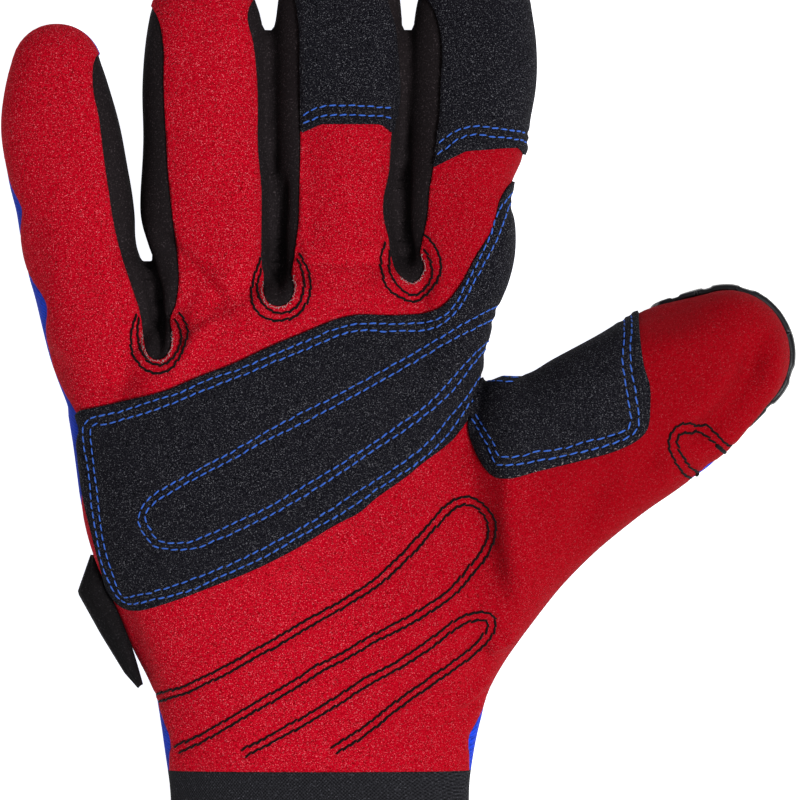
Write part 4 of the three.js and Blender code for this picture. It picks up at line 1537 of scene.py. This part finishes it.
@dataclass
class Guards:
    """Moulded rubber guards on the back of the hand, the fingers and the thumb."""

    back: bmesh.types.BMesh
    finish: bpy.types.Material
    base: float = 2.3
    pad: float = 5.0
    inset: float = 5.5
    side_climb: float = 7.0
    strip_corner: float = 4.0
    pads_on_finger: int = 3
    pad_inset: float = 1.6
    pad_share: float = 0.38
    pad_corner: float = 2.5
    plate_margin: float = 3.0
    plate_height: float = 12.0
    plate_corner: float = 5.0
    knuckle_rib_pitch: float = 6.0
    knuckle_rib_depth: float = 0.35
    thumb_base: float = 1.2
    thumb_rib_pitch: float = 8.0
    thumb_first_rib: float = 44.5

    def build(self) -> None:
        """Raises every guard from the knit back's surface."""
        for strip in FINGER_STRIPS:
            self._finger(strip)
        self._knuckles()
        self._thumb()

    def _raise(self, name: str, node: str, slab: bmesh.types.BMesh, thickness: np.ndarray) -> None:
        """Makes one guard of its cut-out and its thickness."""
        raise_sheet(slab, thickness, on_floor=True)
        dress(name, slab, self.finish, "black_rubber", node)

    def _rim(self, edge: np.ndarray, width: float = 1.2) -> np.ndarray:
        """Share of a guard's thickness that is left near its edge."""
        return 0.55 + 0.45 * smoothstep(0, width, edge)

    def _finger(self, strip: FingerStrip) -> None:
        """Base strip with raised pads along one finger."""
        length = strip.end - strip.start

        def local(points: np.ndarray) -> tuple[np.ndarray, np.ndarray, np.ndarray]:
            row = read_sections(strip.digit.rows, points[:, 1])
            middle = (row["left"] + row["right"]) / 2
            half = (row["right"] - row["left"]) / 2 - self.inset
            return points[:, 0] - middle, half, row["low"]

        def inside(points: np.ndarray) -> np.ndarray:
            across, half, low = local(points)
            gap = rounded_box(across, points[:, 1] - (strip.start + strip.end) / 2, half, length / 2,
                              self.strip_corner)
            return np.minimum(-gap, low + self.side_climb - points[:, 2])

        slab = cut_out(self.back, inside)
        points = coordinates(slab)
        across, half, _ = local(points)
        pitch = length / self.pads_on_finger
        raised = np.zeros(len(points))
        for number in range(self.pads_on_finger):
            middle = strip.start + pitch * (number + 0.5)
            gap = rounded_box(across, points[:, 1] - middle, half - self.pad_inset, pitch * self.pad_share,
                              self.pad_corner)
            raised = np.maximum(raised, 1 - smoothstep(-1.3, 0.0, gap))
        thickness = self.base * self._rim(inside(points)) + (self.pad - self.base) * raised
        self._raise(f"rubber_{strip.name}", f"guard_{strip.name}", slab, thickness)

    def _knuckles(self) -> None:
        """One plate over the four knuckles with a raised pad on each."""
        def reach(points: np.ndarray, margin: float) -> np.ndarray:
            gaps = [rounded_box(points[:, 0] - (a + b) / 2, points[:, 1] - (c + d) / 2, (b - a) / 2 + margin,
                                (d - c) / 2 + margin, self.plate_corner) for a, b, c, d in KNUCKLE_PADS]
            return np.min(gaps, axis=0)

        def inside(points: np.ndarray) -> np.ndarray:
            return np.minimum(-reach(points, self.plate_margin), self.plate_height - points[:, 2])

        slab = cut_out(self.back, inside)
        points = coordinates(slab)
        raised = 1 - smoothstep(-1.5, 0.2, reach(points, 0.0))
        wave = np.maximum(0, np.cos(points[:, 1] * 2 * np.pi / self.knuckle_rib_pitch))
        thickness = self.base * self._rim(inside(points)) + (self.pad - self.base) * raised
        thickness -= self.knuckle_rib_depth * wave * raised
        self._raise("rubber_knuckles", "knuckle_guard", slab, thickness)

    def _thumb(self) -> None:
        """Ribbed guard round the thumb's back and tip, whose rim shows from the palm side."""
        def inside(points: np.ndarray) -> np.ndarray:
            local = to_thumb(points)
            edge = np.interp(local[:, 1], THUMB_RIM_PLACES, THUMB_RIM_HEIGHTS)
            start = np.minimum(local[:, 1] - THUMB_RIM_PLACES[0], 60 - np.abs(local[:, 0]))
            return np.minimum(start, edge - local[:, 2])

        slab = cut_out(self.back, inside)
        points = coordinates(slab)
        local = to_thumb(points)
        wave = 0.5 + 0.5 * np.cos((local[:, 1] - self.thumb_first_rib) * 2 * np.pi / self.thumb_rib_pitch)
        ribs = smoothstep(0.05, 0.3, wave)
        below = 1 - smoothstep(8, 16, local[:, 2])
        thickness = self.thumb_base + (0.35 + 0.8 * below) * ribs
        thickness *= 0.4 + 0.6 * smoothstep(46, 62, local[:, 1])
        thickness *= self._rim(inside(points), 1.0)
        self._raise("rubber_thumb", "thumb_guard", slab, thickness)


def rounded_box(x: np.ndarray, y: np.ndarray, half_x: object, half_y: object, corner: float) -> np.ndarray:
    """Signed distance from a rounded rectangle round zero, below zero inside it."""
    qx, qy = np.abs(x) - half_x + corner, np.abs(y) - half_y + corner
    outside = np.hypot(np.maximum(qx, 0), np.maximum(qy, 0))
    return outside + np.minimum(np.maximum(qx, qy), 0) - corner


@dataclass
class Cuff:
    """Wrist band and the tape that binds its end."""

    binding_width: float = 8.0
    binding_rise: float = 1.2
    turn_radius: float = 1.5

    def build(self, cuff: bmesh.types.BMesh, finishes: dict[str, bpy.types.Material]) -> None:
        """Dresses the band and folds the tape round its end."""
        turn = CUFF_END + self.binding_width
        divide(cuff, coordinates(cuff)[:, 1] - turn)
        taped = centres(cuff)[:, 1] < turn
        tape = keep_faces(cuff, taped)
        band = keep_faces(cuff, ~taped)
        cuff.free()
        along = coordinates(tape)[:, 1]
        past_turn = ((CUFF_END + self.turn_radius - along) / self.turn_radius).clip(0, 1)
        rounding = np.sqrt(np.clip(1 - past_turn**2, 0, 1))
        raise_sheet(tape, self.binding_rise * (0.35 + 0.65 * rounding), WALL + self.binding_rise)
        dress("cuff_tape", tape, finishes["binding_tape"], "binding_tape", "cuff_binding")
        dress("cuff_cloth", band, finishes["cuff_cloth"], "cuff_cloth", "cuff_band", WALL)


@dataclass
class SideTag:
    """Folded label sewn into the side seam, left bare."""

    inner: Outline = Outline(((-75.4, -31.2), (-72, -41), (-68.6, -50), (-66.3, -57.4), (-64.6, -63.6)))
    outer: Outline = Outline(((-77, -31.2), (-80.2, -40.5), (-74.5, -50.8), (-68.6, -60.5), (-65.2, -64.3)),
                             rounded=False)
    height: float = 19.4
    half_gap: float = 0.35
    bulge: float = 1.5
    pressed: float = 0.75
    thickness: float = 0.45
    opened_out: tuple[float, float] = (0.0205, 0.035)
    cut_area: float = 0.00046

    def build(self, finish: bpy.types.Material) -> None:
        """Folds one band of cloth over at the label's outer edge."""
        bm = bmesh.new()
        verts = bmesh.ops.create_grid(bm, x_segments=40, y_segments=24, size=0.5)["verts"]
        inner, outer = self.inner.path(0.5), self.outer.path(0.5)
        shares = np.array([vert.co[:2] for vert in verts]) + 0.5
        for vert, (s, t) in zip(verts, shares):
            a = np.array([np.interp(s, np.linspace(0, 1, len(inner)), inner[:, k]) for k in (0, 1)])
            b = np.array([np.interp(s, np.linspace(0, 1, len(outer)), outer[:, k]) for k in (0, 1)])
            reach = 1 - abs(2 * t - 1)
            folded = 1.0 - self.pressed * float(smoothstep(0.6, 0.7, np.array(reach)))
            lift = self.bulge * folded * min(1.0, 4 * (1 - reach), 4 * reach) * (1 if t < 0.5 else -0.3)
            x, y = a + (b - a) * reach
            leaf = self.half_gap if t < 0.5 else -self.half_gap
            vert.co = Vector((x, y, self.height + lift + leaf)) * MM
        bmesh.ops.recalc_face_normals(bm, faces=bm.faces)
        piece = dress("label", bm, finish, "tag_cloth", "side_tag", self.thickness)


@dataclass(frozen=True)
class Lamp:
    """A square soft lamp that faces the glove, placed in metres."""

    name: str
    place: tuple[float, float, float]
    size: float
    power: float

    def build(self) -> None:
        """Adds the lamp."""
        data = bpy.data.lights.new(self.name, "AREA")
        data.energy = self.power
        data.size = self.size
        lamp = bpy.data.objects.new(self.name, data)
        lamp.location = self.place
        lamp.rotation_euler = Vector(self.place).to_track_quat("Z", "Y").to_euler()
        bpy.context.collection.objects.link(lamp)


LAMPS = (Lamp("key", (0.5, -0.3, 1.15), 0.4, 19.3), Lamp("fill", (-0.6, 0.6, 1.8), 1.6, 3.0))


@dataclass
class Studio:
    """Pale floor, soft lamps and the camera straight above the palm."""

    centre: tuple[float, float] = (0.0, 7.5)
    focus_height: float = 18.0
    distance: float = 2.5
    picture_width: float = 200.0
    sensor: float = 36.0
    floor_drop: float = 0.3
    floor_glow: float = 1.02
    sky: float = 0.16

    def build(self) -> None:
        """Adds camera, floor, lamps and world."""
        self._camera()
        self._floor()
        for lamp in LAMPS:
            lamp.build()
        world = bpy.data.worlds.new("studio")
        world.use_nodes = True
        background = world.node_tree.nodes["Background"]
        background.inputs["Color"].default_value = (1, 1, 1, 1)
        background.inputs["Strength"].default_value = self.sky
        bpy.context.scene.world = world
        bpy.context.scene.view_settings.view_transform = "Standard"

    def _camera(self) -> None:
        """The camera, framed to the photograph's scale."""
        data = bpy.data.cameras.new("camera")
        data.sensor_width = self.sensor
        data.lens = self.sensor * self.distance / (self.picture_width * MM)
        data.clip_end = 10.0
        camera = bpy.data.objects.new("camera", data)
        camera.location = (self.centre[0] * MM, self.centre[1] * MM, self.distance + self.focus_height * MM)
        bpy.context.collection.objects.link(camera)
        bpy.context.scene.camera = camera

    def _floor(self) -> None:
        """A plain pale floor just under the guards' feet."""
        bm = bmesh.new()
        bmesh.ops.create_grid(bm, x_segments=2, y_segments=2, size=4.0)
        for vert in bm.verts:
            vert.co.z = -self.floor_drop * MM
        g = Graph("pale_floor")
        g.shader.inputs["Base Color"].default_value = (0.5, 0.5, 0.5, 1)
        g.shader.inputs["Roughness"].default_value = 0.9
        g.shader.inputs["Specular IOR Level"].default_value = 0.1
        g.shader.inputs["Emission Color"].default_value = (1, 1, 1, 1)
        g.shader.inputs["Emission Strength"].default_value = self.floor_glow
        add_object("floor", to_mesh("floor", bm), g.material)


def main() -> None:
    """Builds the glove piece by piece and reports each one."""
    logging.basicConfig(level=logging.INFO, format="%(message)s")
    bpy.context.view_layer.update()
    Studio().build()
    finishes = {
        finish.name: finish.make()
        for finish in (RED_SUEDE, BLACK_SUEDE, BLUE_KNIT, BLACK_STRETCH, CUFF_CLOTH, BINDING_TAPE, TAG_CLOTH,
                       BLACK_RUBBER, BLUE_THREAD, BLACK_THREAD, PALE_FIBRE)
    }
    sheets = GloveSkin(GloveForm()).cut()
    Guards(sheets[Region.BACK], finishes["black_rubber"]).build()
    Cuff().build(sheets[Region.CUFF], finishes)
    palm = Panels(sheets).build(finishes)
    below = {"palm_suede": BVHTree.FromBMesh(palm)}
    below |= {patch.name: patch.build(palm, finishes["black_suede"]) for patch in PATCHES}
    for number, patch in enumerate(PATCHES):
        sewing = Sewing(pitch=patch.pitch, dash=patch.pitch * 0.72, width=0.44, seed=11 + number)
        name = patch.name.replace("grip", "stitches")
        sewing.sew(name, "blue_knit", finishes["blue_thread"], patch.rows, below[patch.name])
    for name, slot, thread, ground, rows, sewing in THREADWORK:
        sewing.sew(name, slot, finishes[thread], rows, below[ground])
    palm.free()
    SideTag().build(finishes["tag_cloth"])


if __name__ == "__main__":
    main()
